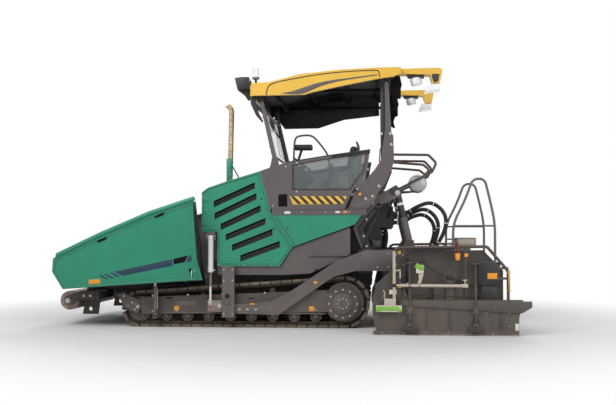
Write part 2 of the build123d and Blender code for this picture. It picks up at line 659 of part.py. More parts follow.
with BuildPart() as screed_frame:
    # towers behind the tow arms, a cross beam between them and forks for the lift cylinders
    block((1592, 1765), (ARM_INNER - 10, 1250), (380, 1155))
    for fork_y in (880, 1005):
        side_slab([(1700, 1000), (1900, 950), (1900, 1290), (1790, 1300), (1700, 1150)],
                  (fork_y, fork_y + 15))
    for leg_y in (150, 700):
        block((1700, 1800), (leg_y, leg_y + 60), (380, 850))
    mirror(about=Plane.XZ)
    block((1640, 1800), (-ARM_INNER + 10, ARM_INNER - 10), (850, 1000))
    # housings of the extension tubes
    for tube_side, tube_x in ((-1, 2260), (1, 2440)):
        housing = across(tube_side, 500, 1080)
        block((1740, tube_x + 85), housing, (740, 850))
        block((tube_x - 85, tube_x + 85), housing, (465, 740))
        rod((tube_x, housing[0], 570), (tube_x, housing[1], 570), 62, Mode.SUBTRACT)
save(screed_frame, "screed_frame")

WALKWAY_TOP = 360
with BuildPart() as screed_walkway:
    block((2660, 3230), (-1180, 1180), (WALKWAY_TOP - 30, WALKWAY_TOP))
    for hanger_y in (400, -460):
        block((1960, 2080), (hanger_y, hanger_y + 60), (380, 430))
        block((2080, 2720), (hanger_y, hanger_y + 60), (395, 430))
        block((2660, 2720), (hanger_y, hanger_y + 60), (WALKWAY_TOP, 395))
save(screed_walkway, "screed_walkway")

STAIR_Y = 330
HANDRAIL_Y = 700
with BuildPart() as stair:
    # arched handrails on the walkway, joined by a cross tube ahead of the locker
    arch = ((2500, HANDRAIL_Y, 1190), (2500, HANDRAIL_Y, 1540), (2672, HANDRAIL_Y, 1870),
            (2800, HANDRAIL_Y, 2215), (2975, HANDRAIL_Y, 2215), (3045, HANDRAIL_Y, 1930),
            (3124, HANDRAIL_Y, 1560), (3124, HANDRAIL_Y, WALKWAY_TOP))
    bent_tube(arch, 19, corner_radii(arch))
    rod((2500, HANDRAIL_Y, 1505), (3120, HANDRAIL_Y, 1505), 14)
    for strut_z in (1222, 1300):
        rod((2500, 300, strut_z), (2600, 300, strut_z), 12)
    # treads between two sloping stringers on the walkway
    side_slab([(2990, WALKWAY_TOP), (3130, WALKWAY_TOP), (2780, 1190), (2600, 1190), (2600, 1130),
               (2720, 1130)],
              (STAIR_Y - 30, STAIR_Y))
    mirror(about=Plane.XZ)
    for tread_x, tread_z in ((2930, 600), (2820, 850), (2700, 1110)):
        block((tread_x - 100, tread_x + 100), (-STAIR_Y + 30, STAIR_Y - 30), (tread_z, tread_z + 30))
    # locker at the head of the stair
    block((2580, 2880), (-STAIR_Y, STAIR_Y), (1205, 1320))
    block((2610, 2780), (-STAIR_Y, STAIR_Y), (1190, 1205))
    for cross_z in (1222, 1300):
        rod((2500, -HANDRAIL_Y, cross_z), (2500, HANDRAIL_Y, cross_z), 14)
save(stair, "stair")

# ---------------------------------------------------------------- screed extensions

EXTENSION_INNER = 720
# bolt holes at the rear of the side plates, for wider plates
BOLT_XS = (2850, 3150)
BOLT_ZS = (130, 310)
BOLT_RADIUS = 9
SPINDLE_Y = PLATE_OUTER + 32
SENSOR_Y = PLATE_OUTER + 64
TUBE_INNER = {"left": 2260, "right": 2440}
PLATE_TOP = 485
SIDE_PLATE = [(1345, 0), (3274, 0), (3276, 241), (3331, PLATE_TOP), (1790, PLATE_TOP), (1620, 887),
              (1560, 887), (1340, 693), (1291, 473), (1291, 309)]
for name, side in SIDES:
    with BuildPart() as extension:
        side_slab([(2140, 60), (2190, 0), (2620, 0), (2620, 370), (2120, 370), (2120, 110)],
                  across(side, EXTENSION_INNER, PLATE_INNER))
        block((2130, 2610), across(side, PLATE_INNER - 40, PLATE_INNER), (370, 680))
        rod((TUBE_INNER[name], -side * 150, 570), (TUBE_INNER[name], side * (PLATE_INNER - 20), 570), 60)
        # tall cover beside the walkway
        side_slab([(1800, 500), (1800, 1145), (2810, 1160), (3080, 880), (3080, 400), (2630, 400),
                   (2610, 360), (2130, 360), (2130, 500)], across(side, PLATE_INNER - 102, PLATE_INNER - 80))
        # walkway behind it
        block((2620, 3230), across(side, 1300, PLATE_INNER), (385, 415))
        # slot that clears the handrail's leg when the extension is in
        block((3085, 3163), across(side, 1290, 1425), (380, 420), Mode.SUBTRACT)
        block((2620, 2650), across(side, 1300, PLATE_INNER), (300, 385))
    save(extension, f"extension_{name}")
    with BuildPart() as side_plate:
        side_slab(SIDE_PLATE, across(side, PLATE_INNER, PLATE_OUTER))
        # stiffening beam along the plate and the two height spindles
        block((1668, 3448), across(side, PLATE_OUTER, PLATE_OUTER + 16), (395, 468))
        block((1300, 3270), across(side, PLATE_OUTER, PLATE_OUTER + 14), (6, 60))
        for bolt_x in BOLT_XS:
            for bolt_z in BOLT_ZS:
                disc(bolt_x, bolt_z, across(side, PLATE_INNER - 5, PLATE_OUTER + 5), BOLT_RADIUS,
                     Mode.SUBTRACT)
        for spindle_x, top_z in ((1800, 997), (2690, 985)):
            rod((spindle_x, side * SPINDLE_Y, 140), (spindle_x, side * SPINDLE_Y, top_z), 14)
            rod((spindle_x, side * SPINDLE_Y, 130), (spindle_x, side * SPINDLE_Y, 165), 45)
            block((spindle_x - 30, spindle_x + 30), across(side, PLATE_OUTER - 10, SPINDLE_Y + 20),
                  (300, 380))
    save(side_plate, f"side_plate_{name}")
    with BuildPart() as guard_rail:
        # tube that stands on the side plate's edge
        rail_y = side * (PLATE_INNER + PLATE_OUTER) / 2
        bent_tube([(1590, rail_y, 887), (1590, rail_y, 1190), (2850, rail_y, 1211), (3133, rail_y, 878),
                   (3133, rail_y, PLATE_TOP)], 21, 70)
        rod((2560, rail_y, PLATE_TOP), (2560, rail_y, 1200), 16)
        # control box on its own leg, clamped to the tube
        block((2735, 3020), across(side, PLATE_INNER - 75, PLATE_INNER), (690, 985))
        block((2860, 2900), across(side, PLATE_INNER - 55, PLATE_INNER - 25), (415, 690))
        for clamp_z in (760, 900):
            block((2990, 3140), across(side, PLATE_INNER - 10, PLATE_INNER + 20), (clamp_z, clamp_z + 30))
    save(guard_rail, f"guard_rail_{name}")
    with BuildPart() as sensor_arm:
        # clamp on the side plate, upright tube, cross tube and the sensor bar hung ahead of the plate
        block((1520, 1620), across(side, PLATE_OUTER, SENSOR_Y), (560, 620))
        rod((1588, side * SENSOR_Y, 400), (1588, side * SENSOR_Y, 1162), 15)
        rod((1588, side * SENSOR_Y, 680), (2560, side * SENSOR_Y, 680), 13)
        block((1339, 1690), across(side, SENSOR_Y - 26, SENSOR_Y + 26), (322, 410))
        block((1885, 1985), across(side, SENSOR_Y - 20, SENSOR_Y + 26), (850, 960))
        rod((1930, side * SENSOR_Y, 680), (1930, side * SENSOR_Y, 850), 10)
    save(sensor_arm, f"sensor_arm_{name}")

# ---------------------------------------------------------------- lift cylinders

LIFT_Y = 950
LIFT_LENGTH = (Vector(LIFT_EYE[0], 0, LIFT_EYE[1]) - Vector(LIFT_TOP[0], 0, LIFT_TOP[1])).length
top_pin = (LIFT_TOP[0], LIFT_Y, LIFT_TOP[1])
low_pin = (LIFT_EYE[0], LIFT_Y, LIFT_EYE[1])
with BuildPart() as lift_barrels:
    rod(along(top_pin, low_pin, 25), along(top_pin, low_pin, 395), 48)
    disc(*LIFT_TOP, (LIFT_Y - 48, LIFT_Y + 48), 48)
    disc(*LIFT_TOP, (LIFT_Y - 48, LIFT_Y + 48), 24 + PIN_PLAY, Mode.SUBTRACT)
    rod(along(top_pin, low_pin, 52), along(top_pin, low_pin, 400), 27, Mode.SUBTRACT)
    mirror(about=Plane.XZ)
save(lift_barrels, "lift_barrels")

with BuildPart() as lift_rods:
    # sleeve that guards the rod and slides over the barrel
    rod(along(top_pin, low_pin, 375), along(top_pin, low_pin, LIFT_LENGTH - 38), 53)
    rod(along(top_pin, low_pin, 370), along(top_pin, low_pin, LIFT_LENGTH - 52), 49.2, Mode.SUBTRACT)
    rod(along(top_pin, low_pin, 372), along(top_pin, low_pin, LIFT_LENGTH - 20), 26)
    disc(*LIFT_EYE, (LIFT_Y - 24, LIFT_Y + 24), 42)
    mirror(about=Plane.XZ)
save(lift_rods, "lift_rods")

# ---------------------------------------------------------------- hoses

HOSE_RADIUS = 31
# routes from the valve blocks back and down to the screed's cross beam, as (x, y, z)
HOSE_ROUTES = {
    "hose_outer": ((1600, -600, 1690), (1800, -600, 1690), (1960, -604, 1800), (2190, -610, 1880),
                   (2400, -612, 1700), (2400, -608, 1450), (2240, -602, 1170), (2040, -600, 925),
                   (1800, -600, 925)),
    "hose_middle": ((1600, -500, 1640), (1790, -500, 1640), (1910, -504, 1720), (2110, -508, 1780),
                    (2290, -507, 1610), (2290, -504, 1390), (2170, -501, 1130), (2020, -500, 925),
                    (1800, -500, 925)),
    "hose_inner": ((1600, -405, 1560), (1770, -405, 1560), (1870, -408, 1640), (2080, -412, 1700),
                   (2240, -410, 1540), (2230, -407, 1320), (2120, -405, 1090), (2000, -405, 925),
                   (1800, -405, 925)),
}

for name, route in HOSE_ROUTES.items():
    radii = corner_radii(route)
    print(name, [round(radius) for radius in radii])
    with BuildPart() as hose:
        with BuildLine(mode=Mode.PRIVATE) as route_line:
            FilletPolyline(*route, radius=radii)
        with BuildSketch(Plane(origin=route[0], z_dir=route_line.line % 0), mode=Mode.PRIVATE) as hose_end:
            Circle(HOSE_RADIUS)
        sweep(hose_end.sketch, path=route_line.line)
    hose_length = route_line.wires()[0].length
    print(name, round(hose.part.volume / (pi * HOSE_RADIUS ** 2 * hose_length), 3))
    save(hose, name)
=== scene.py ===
"""Looks of a tracked asphalt paver: surface detail, finishes, soft parts and a studio stage."""
import math

import bmesh
import bpy
from mathutils import Matrix, Vector


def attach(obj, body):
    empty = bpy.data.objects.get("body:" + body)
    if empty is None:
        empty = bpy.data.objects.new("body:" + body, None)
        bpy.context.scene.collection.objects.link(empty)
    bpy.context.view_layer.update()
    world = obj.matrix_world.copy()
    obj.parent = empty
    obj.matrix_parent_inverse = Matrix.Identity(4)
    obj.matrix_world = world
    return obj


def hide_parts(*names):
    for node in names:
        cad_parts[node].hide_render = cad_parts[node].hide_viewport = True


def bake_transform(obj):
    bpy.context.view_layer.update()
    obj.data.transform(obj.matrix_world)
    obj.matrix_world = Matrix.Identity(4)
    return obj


bl_info = {
    "name": "Asphalt Paver",
    "version": (1, 0, 0),
    "blender": (4, 5, 0),
    "location": "3D View > Sidebar > Paver",
    "description": "Dresses a tracked asphalt paver and lights it in a plain studio",
    "category": "Object",
}

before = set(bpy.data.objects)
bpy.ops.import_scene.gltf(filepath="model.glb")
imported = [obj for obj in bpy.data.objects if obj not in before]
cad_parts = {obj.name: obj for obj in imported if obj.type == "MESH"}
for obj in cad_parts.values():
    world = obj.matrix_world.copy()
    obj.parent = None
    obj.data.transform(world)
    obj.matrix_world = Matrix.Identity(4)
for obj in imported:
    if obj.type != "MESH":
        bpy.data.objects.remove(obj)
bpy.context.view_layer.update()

SIDES = (("left", -1), ("right", 1))
# directions: to the machine's side, up and to its rear
OUT, UP, AFT = (0, 1, 0), (0, 0, 1), (1, 0, 0)
# distances from the centre line
TRACK_INNER, TRACK_OUTER = 0.865, 1.17
ROOF_HALF = 1.25
# edges that turn more than this stay sharp
SHARP_ANGLE = math.radians(34)


def srgb(red, green, blue):
    """A colour given as it looks on a screen, from 0 to 255, as linear values."""
    return tuple(((c / 255 + 0.055) / 1.055) ** 2.4 if c > 10 else c / 255 / 12.92 for c in (red, green, blue))


# ---- settings

def colour_setting(name, description, *levels):
    """A colour setting, with its default as it looks on a screen."""
    return bpy.props.FloatVectorProperty(name=name, description=description, subtype="COLOR", size=3, min=0, max=1,
        default=srgb(*levels))


class PaverColours(bpy.types.PropertyGroup):
    """Colours of the paver's paints and bare materials."""

    green: colour_setting("Body green", "Paint of the hopper and the engine hood", 34, 140, 108)
    grey: colour_setting("Frame grey", "Paint of the cab, the tow arms and the track frames", 92, 85, 84)
    dark: colour_setting("Screed grey", "Paint of the screed and the chassis", 66, 61, 58)
    yellow: colour_setting("Roof yellow", "Paint of the roof and the warning stripes", 238, 190, 72)
    dust: colour_setting("Dust", "Dry asphalt and road dust that settles on the machine", 146, 132, 116)
    steel: colour_setting("Bare steel", "Steel where paint has worn away", 150, 142, 134)


class PaverWear(bpy.types.PropertyGroup):
    """How used the machine looks."""

    soil: bpy.props.FloatProperty(name="Dust cover", description="How much dust lies on the paint", min=0, max=1,
        default=0.5, subtype="FACTOR")
    chips: bpy.props.FloatProperty(name="Chips", description="How much paint is worn off the edges", min=0, max=1,
        default=0.5, subtype="FACTOR")
    shoes: bpy.props.IntProperty(name="Track shoes", description="Shoes on each track", min=30, max=70, default=50)
    hose_width: bpy.props.FloatProperty(name="Hose width", description="Diameter of the heating hoses", min=0.03,
        max=0.08, default=0.062, unit="LENGTH")


class PaverStage(bpy.types.PropertyGroup):
    """Where the camera stands and how bright the studio is."""

    eye: bpy.props.FloatVectorProperty(name="Camera place", description="Where the camera stands", size=3,
        unit="LENGTH", default=(1.37, -14.275, 1.3816))
    turn: bpy.props.FloatProperty(name="Camera turn", description="Turn to the left from straight across the machine",
        subtype="ANGLE", default=math.radians(4.497))
    tilt: bpy.props.FloatProperty(name="Camera tilt", description="Tilt above the horizon", subtype="ANGLE",
        default=math.radians(2.027))
    lens: bpy.props.FloatProperty(name="Lens", description="Focal length on a 36 mm sensor", min=20, max=200,
        default=52.01, unit="CAMERA")
    light: bpy.props.FloatProperty(name="Light", description="Strength of the soft lamps", min=0.1, max=4,
        default=1.0, subtype="FACTOR")


# ---- finishes

class Value:
    """A shader socket that takes part in arithmetic: an expression on it adds the Math nodes."""

    def __init__(self, finish, socket):
        self.finish = finish
        self.socket = socket

    def math(self, operation, first, second=0.0, clamp=False):
        return self.finish.node("Math", {"operation": operation, "use_clamp": clamp}, {0: first, 1: second})

    def __add__(self, other):
        return self.math("ADD", self, other)

    __radd__ = __add__

    def __sub__(self, other):
        return self.math("SUBTRACT", self, other)

    def __rsub__(self, other):
        return self.math("SUBTRACT", other, self)

    def __mul__(self, other):
        return self.math("MULTIPLY", self, other)

    __rmul__ = __mul__

    def __truediv__(self, other):
        return self.math("DIVIDE", self, other)

    def size(self):
        """The value without its sign."""
        return self.math("ABSOLUTE", self)

    def most(self, other):
        return self.math("MAXIMUM", self, other)

    def rise(self, low, high):
        """0 below low, 1 above high, and smooth between them. It falls where low is above high."""
        settings = {"interpolation_type": "SMOOTHSTEP"}
        if low > high:
            return 1.0 - self.finish.node("MapRange", settings, {0: self, 1: high, 2: low})
        return self.finish.node("MapRange", settings, {0: self, 1: low, 2: high})


class Finish:
    """A material under construction, read in the object's own coordinates."""

    def __init__(self, name):
        self.material = bpy.data.materials.new(name)
        self.material.use_nodes = True
        self.tree = self.material.node_tree
        self.shader = self.tree.nodes["Principled BSDF"]
        self.place = self.node("TexCoord", output="Object")
        self.x, self.y, self.z = (self.node("SeparateXYZ", sockets={0: self.place}, output=axis) for axis in "XYZ")

    def node(self, kind, settings=None, sockets=None, output=0):
        """Any node: its type, its settings, the values or links of its sockets, and which output is wanted."""
        made = self.tree.nodes.new("ShaderNode" + kind)
        for name, value in (settings or {}).items():
            setattr(made, name, value)
        for key, value in (sockets or {}).items():
            self.feed(made.inputs[key], value)
        return Value(self, made.outputs[output])

    def feed(self, socket, value):
        if isinstance(value, Value):
            self.tree.links.new(value.socket, socket)
        elif socket.type == "RGBA":
            socket.default_value = (*value[:3], 1)
        else:
            socket.default_value = value

    def set(self, **values):
        """Sockets of the main shader, with underscores for spaces."""
        for name, value in values.items():
            self.feed(self.shader.inputs[name.replace("_", " ")], value)

    def noise(self, scale, detail=4.0, rough=0.55, stretch=None):
        where = self.place
        if stretch:
            where = self.node("Mapping", sockets={"Vector": self.place, "Scale": stretch})
        return self.node("TexNoise", sockets={"Vector": where, "Scale": scale, "Detail": detail, "Roughness": rough})

    def cells(self, scale, feature="F1"):
        return self.node("TexVoronoi", {"feature": feature}, {"Vector": self.place, "Scale": scale})

    def mix(self, factor, first, second):
        return self.node("Mix", {"data_type": "RGBA"}, {0: factor, 6: first, 7: second}, output=2)

    def upward(self):
        """1 on faces that look up, 0 on walls and undersides."""
        normal = self.node("TexCoord", output="Normal")
        return self.node("SeparateXYZ", sockets={0: normal}, output="Z")

    def edges(self, radius):
        """Bright along the part's sharp edges."""
        soft = self.node("Bevel", {"samples": 4}, {"Radius": radius})
        hard = self.node("NewGeometry", output="Normal")
        alike = self.node("VectorMath", {"operation": "DOT_PRODUCT"}, {0: soft, 1: hard}, output="Value")
        return (1.0 - alike).rise(0.004, 0.12)

    def bump(self, height, strength, distance=0.002):
        last = self.shader.inputs["Normal"].links
        sockets = {"Height": height, "Strength": strength, "Distance": distance}
        if last:
            sockets["Normal"] = Value(self, last[0].from_socket)
        self.set(Normal=self.node("Bump", sockets=sockets))


def shade(colour, factor):
    """A colour made darker or lighter."""
    return tuple(min(1.0, part * factor) for part in colour[:3])


def painted(name, paint, dust, bare, soil_top=1.2, soil=0.5, gloss=0.36, wear=0.5, residue_and_shade_mask=None):
    """Satin machine paint with settled dust, run-down streaks, scuffs and worn edges.

    The last argument gives a mask of the surfaces that are black and rough instead: asphalt residue inside the hopper
    wings, and painted shade in the roof's hollow.
    """
    finish = Finish(name)
    cloud = finish.noise(1.6, 6)
    grain = finish.noise(52, 5, 0.6)
    streak = finish.noise(7, 5, stretch=(1, 1, 0.1))
    low = (soil_top - finish.z).rise(0, soil_top)
    settled = finish.upward().rise(0.35, 0.95)
    dirt = (cloud * 0.5 + grain * 0.3 + streak * 0.32 + low * 0.34 + settled * 0.4).rise(0.62, 1.15) * soil
    scuff = finish.noise(24, 8, 0.72, stretch=(0.35, 1, 1.6)).rise(0.66, 0.72) * wear * 0.55
    worn = (finish.edges(0.006) * (grain * 0.9 + cloud * 0.5)).rise(0.38, 0.66) * wear
    colour = finish.mix(cloud.rise(0.25, 0.75) * 0.5, shade(paint, 0.86), shade(paint, 1.12))
    colour = finish.mix(streak.rise(0.55, 0.8) * 0.35, colour, shade(paint, 0.72))
    colour = finish.mix(dirt, colour, dust)
    colour = finish.mix(scuff, colour, shade(dust, 0.7))
    colour = finish.mix(worn, colour, bare)
    rough = gloss + dirt * 0.4 + grain * 0.12
    if residue_and_shade_mask:
        within = residue_and_shade_mask(finish)
        # near-black film: asphalt residue in the hopper wings, painted shade in the roof's hollow
        film = finish.mix(cloud.rise(0.4, 0.7), (0.012, 0.012, 0.013), (0.05, 0.045, 0.04))
        colour = finish.mix(within, colour, film)
        rough = rough + within * 0.35
    finish.set(Base_Color=colour, Roughness=rough, Metallic=worn * 0.55)
    finish.bump(finish.noise(130, 2), 0.07, 0.001)
    finish.bump(dirt + grain * 0.35, 0.18, 0.0015)
    return finish.material


def roof_hollow_shade(finish):
    """Mask of painted shade: the undersides and inner walls of the roof's hollow, between its rims."""
    across = finish.y.size().rise(1.2, 1.192) * finish.upward().rise(0.2, 0.0)
    return across * finish.x.rise(-0.5, -0.48) * finish.x.rise(1.672, 1.664)


def hopper_inside(finish):
    """The faces of a wing that hold the mix, inside its leaning wall."""
    wall = 1.4 + (finish.z - 0.568) * 0.167
    return (finish.y.size() - wall).rise(0.02, 0.012)


def worn_steel(name, steel, rust, rough=0.42, rust_share=0.5, bright=1.0):
    """Bare steel, scratched bright, with rust in its hollows."""
    finish = Finish(name)
    cloud = finish.noise(3.2, 7, 0.65)
    grain = finish.noise(70, 6, 0.65)
    scratch = finish.noise(30, 5, 0.6, stretch=(0.15, 1, 1))
    red = (cloud * 0.7 + grain * 0.4).rise(0.5, 0.7) * rust_share
    colour = finish.mix(scratch.rise(0.35, 0.7), shade(steel, 0.6 * bright), shade(steel, 1.15 * bright))
    finish.set(Base_Color=finish.mix(red, colour, rust), Metallic=0.85 - red * 0.75,
        Roughness=rough + red * 0.4 + grain * 0.15)
    finish.bump(grain + red * 0.5, 0.3, 0.0012)
    return finish.material


def polished(name, colour, rough=0.14):
    """Chromed or machined metal with fine marks along it."""
    finish = Finish(name)
    marks = finish.noise(90, 4, 0.6, stretch=(1, 1, 0.2))
    film = finish.noise(5, 5)
    finish.set(Base_Color=finish.mix(film.rise(0.5, 0.8) * 0.4, colour, shade(colour, 0.6)), Metallic=1.0,
        Roughness=rough + marks * 0.1 + film.rise(0.45, 0.8) * 0.22)
    finish.bump(marks, 0.04, 0.0005)
    return finish.material


def rubber(name, colour, dust, share=0.5):
    """Moulded rubber with dust rubbed into it."""
    finish = Finish(name)
    cloud = finish.noise(4, 6, 0.62)
    grain = finish.noise(85, 5, 0.65)
    dusty = (cloud * 0.6 + grain * 0.5).rise(0.45, 0.75) * share
    finish.set(Base_Color=finish.mix(dusty, colour, dust), Roughness=0.68 + grain * 0.2)
    finish.bump(grain + cloud, 0.35, 0.0012)
    return finish.material


def plastic(name, colour, rough=0.5, shine=0.5):
    """Moulded plastic with a fine leather grain and a little dust."""
    finish = Finish(name)
    grain = finish.cells(220)
    cloud = finish.noise(3, 5)
    finish.set(Base_Color=finish.mix(cloud.rise(0.45, 0.8) * 0.4, colour, shade(colour, 1.6)),
        Roughness=rough + cloud * 0.12, Specular_IOR_Level=shine)
    finish.bump(grain, 0.12, 0.0006)
    return finish.material


def gloss(name, colour, rough=0.12):
    """Clear-coated lamp plastic."""
    finish = Finish(name)
    film = finish.noise(6, 5)
    finish.set(Base_Color=finish.mix(film.rise(0.5, 0.85) * 0.3, colour, shade(colour, 0.75)),
        Roughness=rough + film.rise(0.4, 0.8) * 0.15, Coat_Weight=0.6)
    return finish.material


def clear(name, colour, cover, rough=0.05):
    """Window glass: see-through, slightly tinted, with dust low down and wiped marks."""
    finish = Finish(name)
    smear = finish.noise(3.5, 7, 0.7, stretch=(1, 1, 0.35))
    speck = finish.noise(60, 6, 0.7).rise(0.6, 0.8)
    film = (smear.rise(0.42, 0.75) * 0.7 + speck * 0.3) * 0.3
    finish.set(Base_Color=finish.mix(film, colour, (0.55, 0.55, 0.5)), Roughness=rough + film * 0.6,
        Alpha=cover + film * 0.5)
    return finish.material


def woven(name, colour):
    """Hard-wearing seat cloth."""
    finish = Finish(name)
    warp = finish.node("TexWave", {"bands_direction": "X"}, {"Vector": finish.place, "Scale": 150.0})
    weft = finish.node("TexWave", {"bands_direction": "Y"}, {"Vector": finish.place, "Scale": 150.0})
    fuzz = finish.noise(160, 4, 0.7)
    cloud = finish.noise(4, 5)
    finish.set(Base_Color=finish.mix(cloud.rise(0.35, 0.75), colour, shade(colour, 1.9)),
        Roughness=0.82 + fuzz * 0.12, Sheen_Weight=0.25)
    finish.bump(warp * weft + fuzz * 0.5, 0.35, 0.0008)
    return finish.material


def residue(name, dark, dust):
    """Asphalt film and stuck grit on the surfaces that carry the mix."""
    finish = Finish(name)
    grit = finish.cells(140)
    cloud = finish.noise(2.4, 7, 0.65)
    colour = finish.mix(cloud.rise(0.4, 0.7), dark, dust)
    finish.set(Base_Color=finish.mix(grit.rise(0.3, 0.7) * 0.4, colour, shade(dark, 0.6)),
        Roughness=0.75 + cloud * 0.15)
    finish.bump(grit + cloud * 2, 0.6, 0.002)
    return finish.material


FINISHES = {}


def make_finishes(colours, wear):
    """Every finish of the machine, by name."""
    green, grey, dark, yellow = colours.green[:], colours.grey[:], colours.dark[:], colours.yellow[:]
    dust, steel = colours.dust[:], colours.steel[:]
    soil, chips = wear.soil, wear.chips
    rust = srgb(112, 66, 38)
    FINISHES.update({
        "green": painted("green_paint", green, dust, steel, 1.3, soil * 0.55, 0.33, chips * 0.7),
        "grey": painted("grey_paint", grey, dust, shade(steel, 0.8), 1.3, soil * 0.7, 0.42, chips),
        "dark": painted("dark_paint", dark, shade(dust, 0.85), shade(steel, 0.75), 1.6, soil * 0.9, 0.5, chips * 1.3),
        "chassis": painted("chassis_paint", srgb(48, 45, 44), shade(dust, 0.6), shade(steel, 0.6), 1.2, soil, 0.55,
                           chips),
        "yellow": painted("yellow_paint", yellow, dust, steel, 1.0, soil * 0.5, 0.34, chips * 0.6),
        "white": painted("white_paint", srgb(232, 232, 230), dust, steel, 1.0, soil * 0.5, 0.28, chips * 0.5),
        "navy": painted("navy_stripe", srgb(28, 58, 84), dust, steel, 1.2, soil * 0.5, 0.3, chips * 0.4),
        "black": painted("black_paint", srgb(26, 26, 28), shade(dust, 0.6), shade(steel, 0.6), 1.2, soil * 0.7, 0.45,
                         chips),
        "orange": painted("orange_plate", srgb(238, 160, 40), dust, steel, 1.2, soil * 0.4, 0.3, chips * 0.4),
        "lime": painted("lime_paint", srgb(126, 184, 66), dust, steel, 0.8, soil * 0.4, 0.35, chips * 0.4),
        "gold": polished("zinc_gold", srgb(176, 142, 84), 0.34),
        # the roof's hollow is painted black as shade
        "roof": painted("roof_paint_and_painted_shade", yellow, dust, steel, 1.0, soil * 0.5, 0.34, chips * 0.6, roof_hollow_shade),
        "wing": painted("wing_paint", green, dust, steel, 1.2, soil * 0.55, 0.33, chips, hopper_inside),
        "steel": worn_steel("worn_steel", steel, rust),
        "shoe": rubber("track_pad_rubber", srgb(86, 76, 66), shade(dust, 0.9), 0.7),
        "chain": worn_steel("track_chain_steel", srgb(92, 84, 76), srgb(92, 62, 44), 0.5, 0.6),
        "exhaust": worn_steel("heat_tinted_steel", srgb(190, 168, 138), srgb(170, 120, 84), 0.3, 0.35, 1.1),
        "iron": worn_steel("cast_iron", srgb(88, 86, 84), srgb(84, 60, 46), 0.6, 0.4),
        "maroon": painted("maroon_paint", srgb(112, 30, 32), dust, steel, 1.0, soil * 0.4, 0.4, chips * 0.4),
        "stair": painted("stair_paint", srgb(112, 104, 100), dust, steel, 1.0, soil * 0.6, 0.42, chips * 1.2),
        "rails": painted("rail_paint", srgb(78, 66, 60), dust, steel, 1.0, soil * 0.6, 0.45, chips * 1.2),
        "chrome": polished("chrome", (0.66, 0.65, 0.64), 0.2),
        "zinc": polished("bright_zinc", (0.42, 0.41, 0.4), 0.36),
        "aluminium": polished("aluminium", (0.6, 0.54, 0.46), 0.4),
        "hose": rubber("hose_rubber", (0.016, 0.016, 0.017), shade(dust, 0.5), 0.35),
        "plastic": plastic("black_plastic", (0.02, 0.02, 0.022)),
        # near-black with weak specular: painted shade in the louvre slots, the cab's slots, the wing's slots and
        # recess and the roof's hollow; also the black end of the wing stripe
        "black_and_painted_shade": plastic("deep_black_and_painted_shade", (0.007, 0.007, 0.008), 0.8, 0.1),
        "grey_plastic": plastic("grey_plastic", (0.3, 0.29, 0.28), 0.45),
        "pale_box": painted("pale_box_paint", srgb(196, 184, 166), dust, steel, 1.0, soil * 0.6, 0.5, chips),
        "cloth": woven("seat_cloth", (0.022, 0.022, 0.025)),
        "glass": clear("side_glass", (0.13, 0.155, 0.16), 0.6),
        "screen": clear("windscreen_glass", (0.1, 0.12, 0.11), 0.3),
        "lamp": gloss("lamp_lens", (0.86, 0.87, 0.88)),
        "amber": gloss("amber_lens", (0.85, 0.3, 0.02)),
        "tank": gloss("frosted_tank", (0.5, 0.53, 0.5), 0.3),
        "residue": residue("asphalt_film", (0.018, 0.017, 0.016), shade(dust, 0.35)),
    })


# ---- shapes

def show(name, data):
    """A new object in the scene."""
    thing = bpy.data.objects.new(name, data)
    bpy.context.scene.collection.objects.link(thing)
    return thing


def bent_line(points, fineness, radius=0.0, sides=0):
    """The mesh of a smooth line, or of a tube round it."""
    line = bpy.data.curves.new("line", "CURVE")
    line.dimensions = "3D"
    spline = line.splines.new("NURBS")
    spline.points.add(len(points) - 1)
    for knot, point in zip(spline.points, points):
        knot.co = (*point, 1)
    spline.order_u = 3
    spline.use_endpoint_u = True
    spline.resolution_u = fineness
    line.bevel_depth = radius
    line.bevel_resolution = sides
    line.use_fill_caps = True
    holder = bpy.data.objects.new("line", line)
    mesh = bpy.data.meshes.new_from_object(holder)
    bpy.data.objects.remove(holder)
    bpy.data.curves.remove(line)
    return mesh


def lines_at(corners):
    """The edges that meet at corners, each of them once."""
    return list(dict.fromkeys(line for corner in corners for line in corner.link_edges))


def row(first, gap, count):
    """Evenly spaced values."""
    return [first + index * gap for index in range(count)]


def about(middle, half):
    """Two values at the same distance from a middle."""
    return middle - half, middle + half


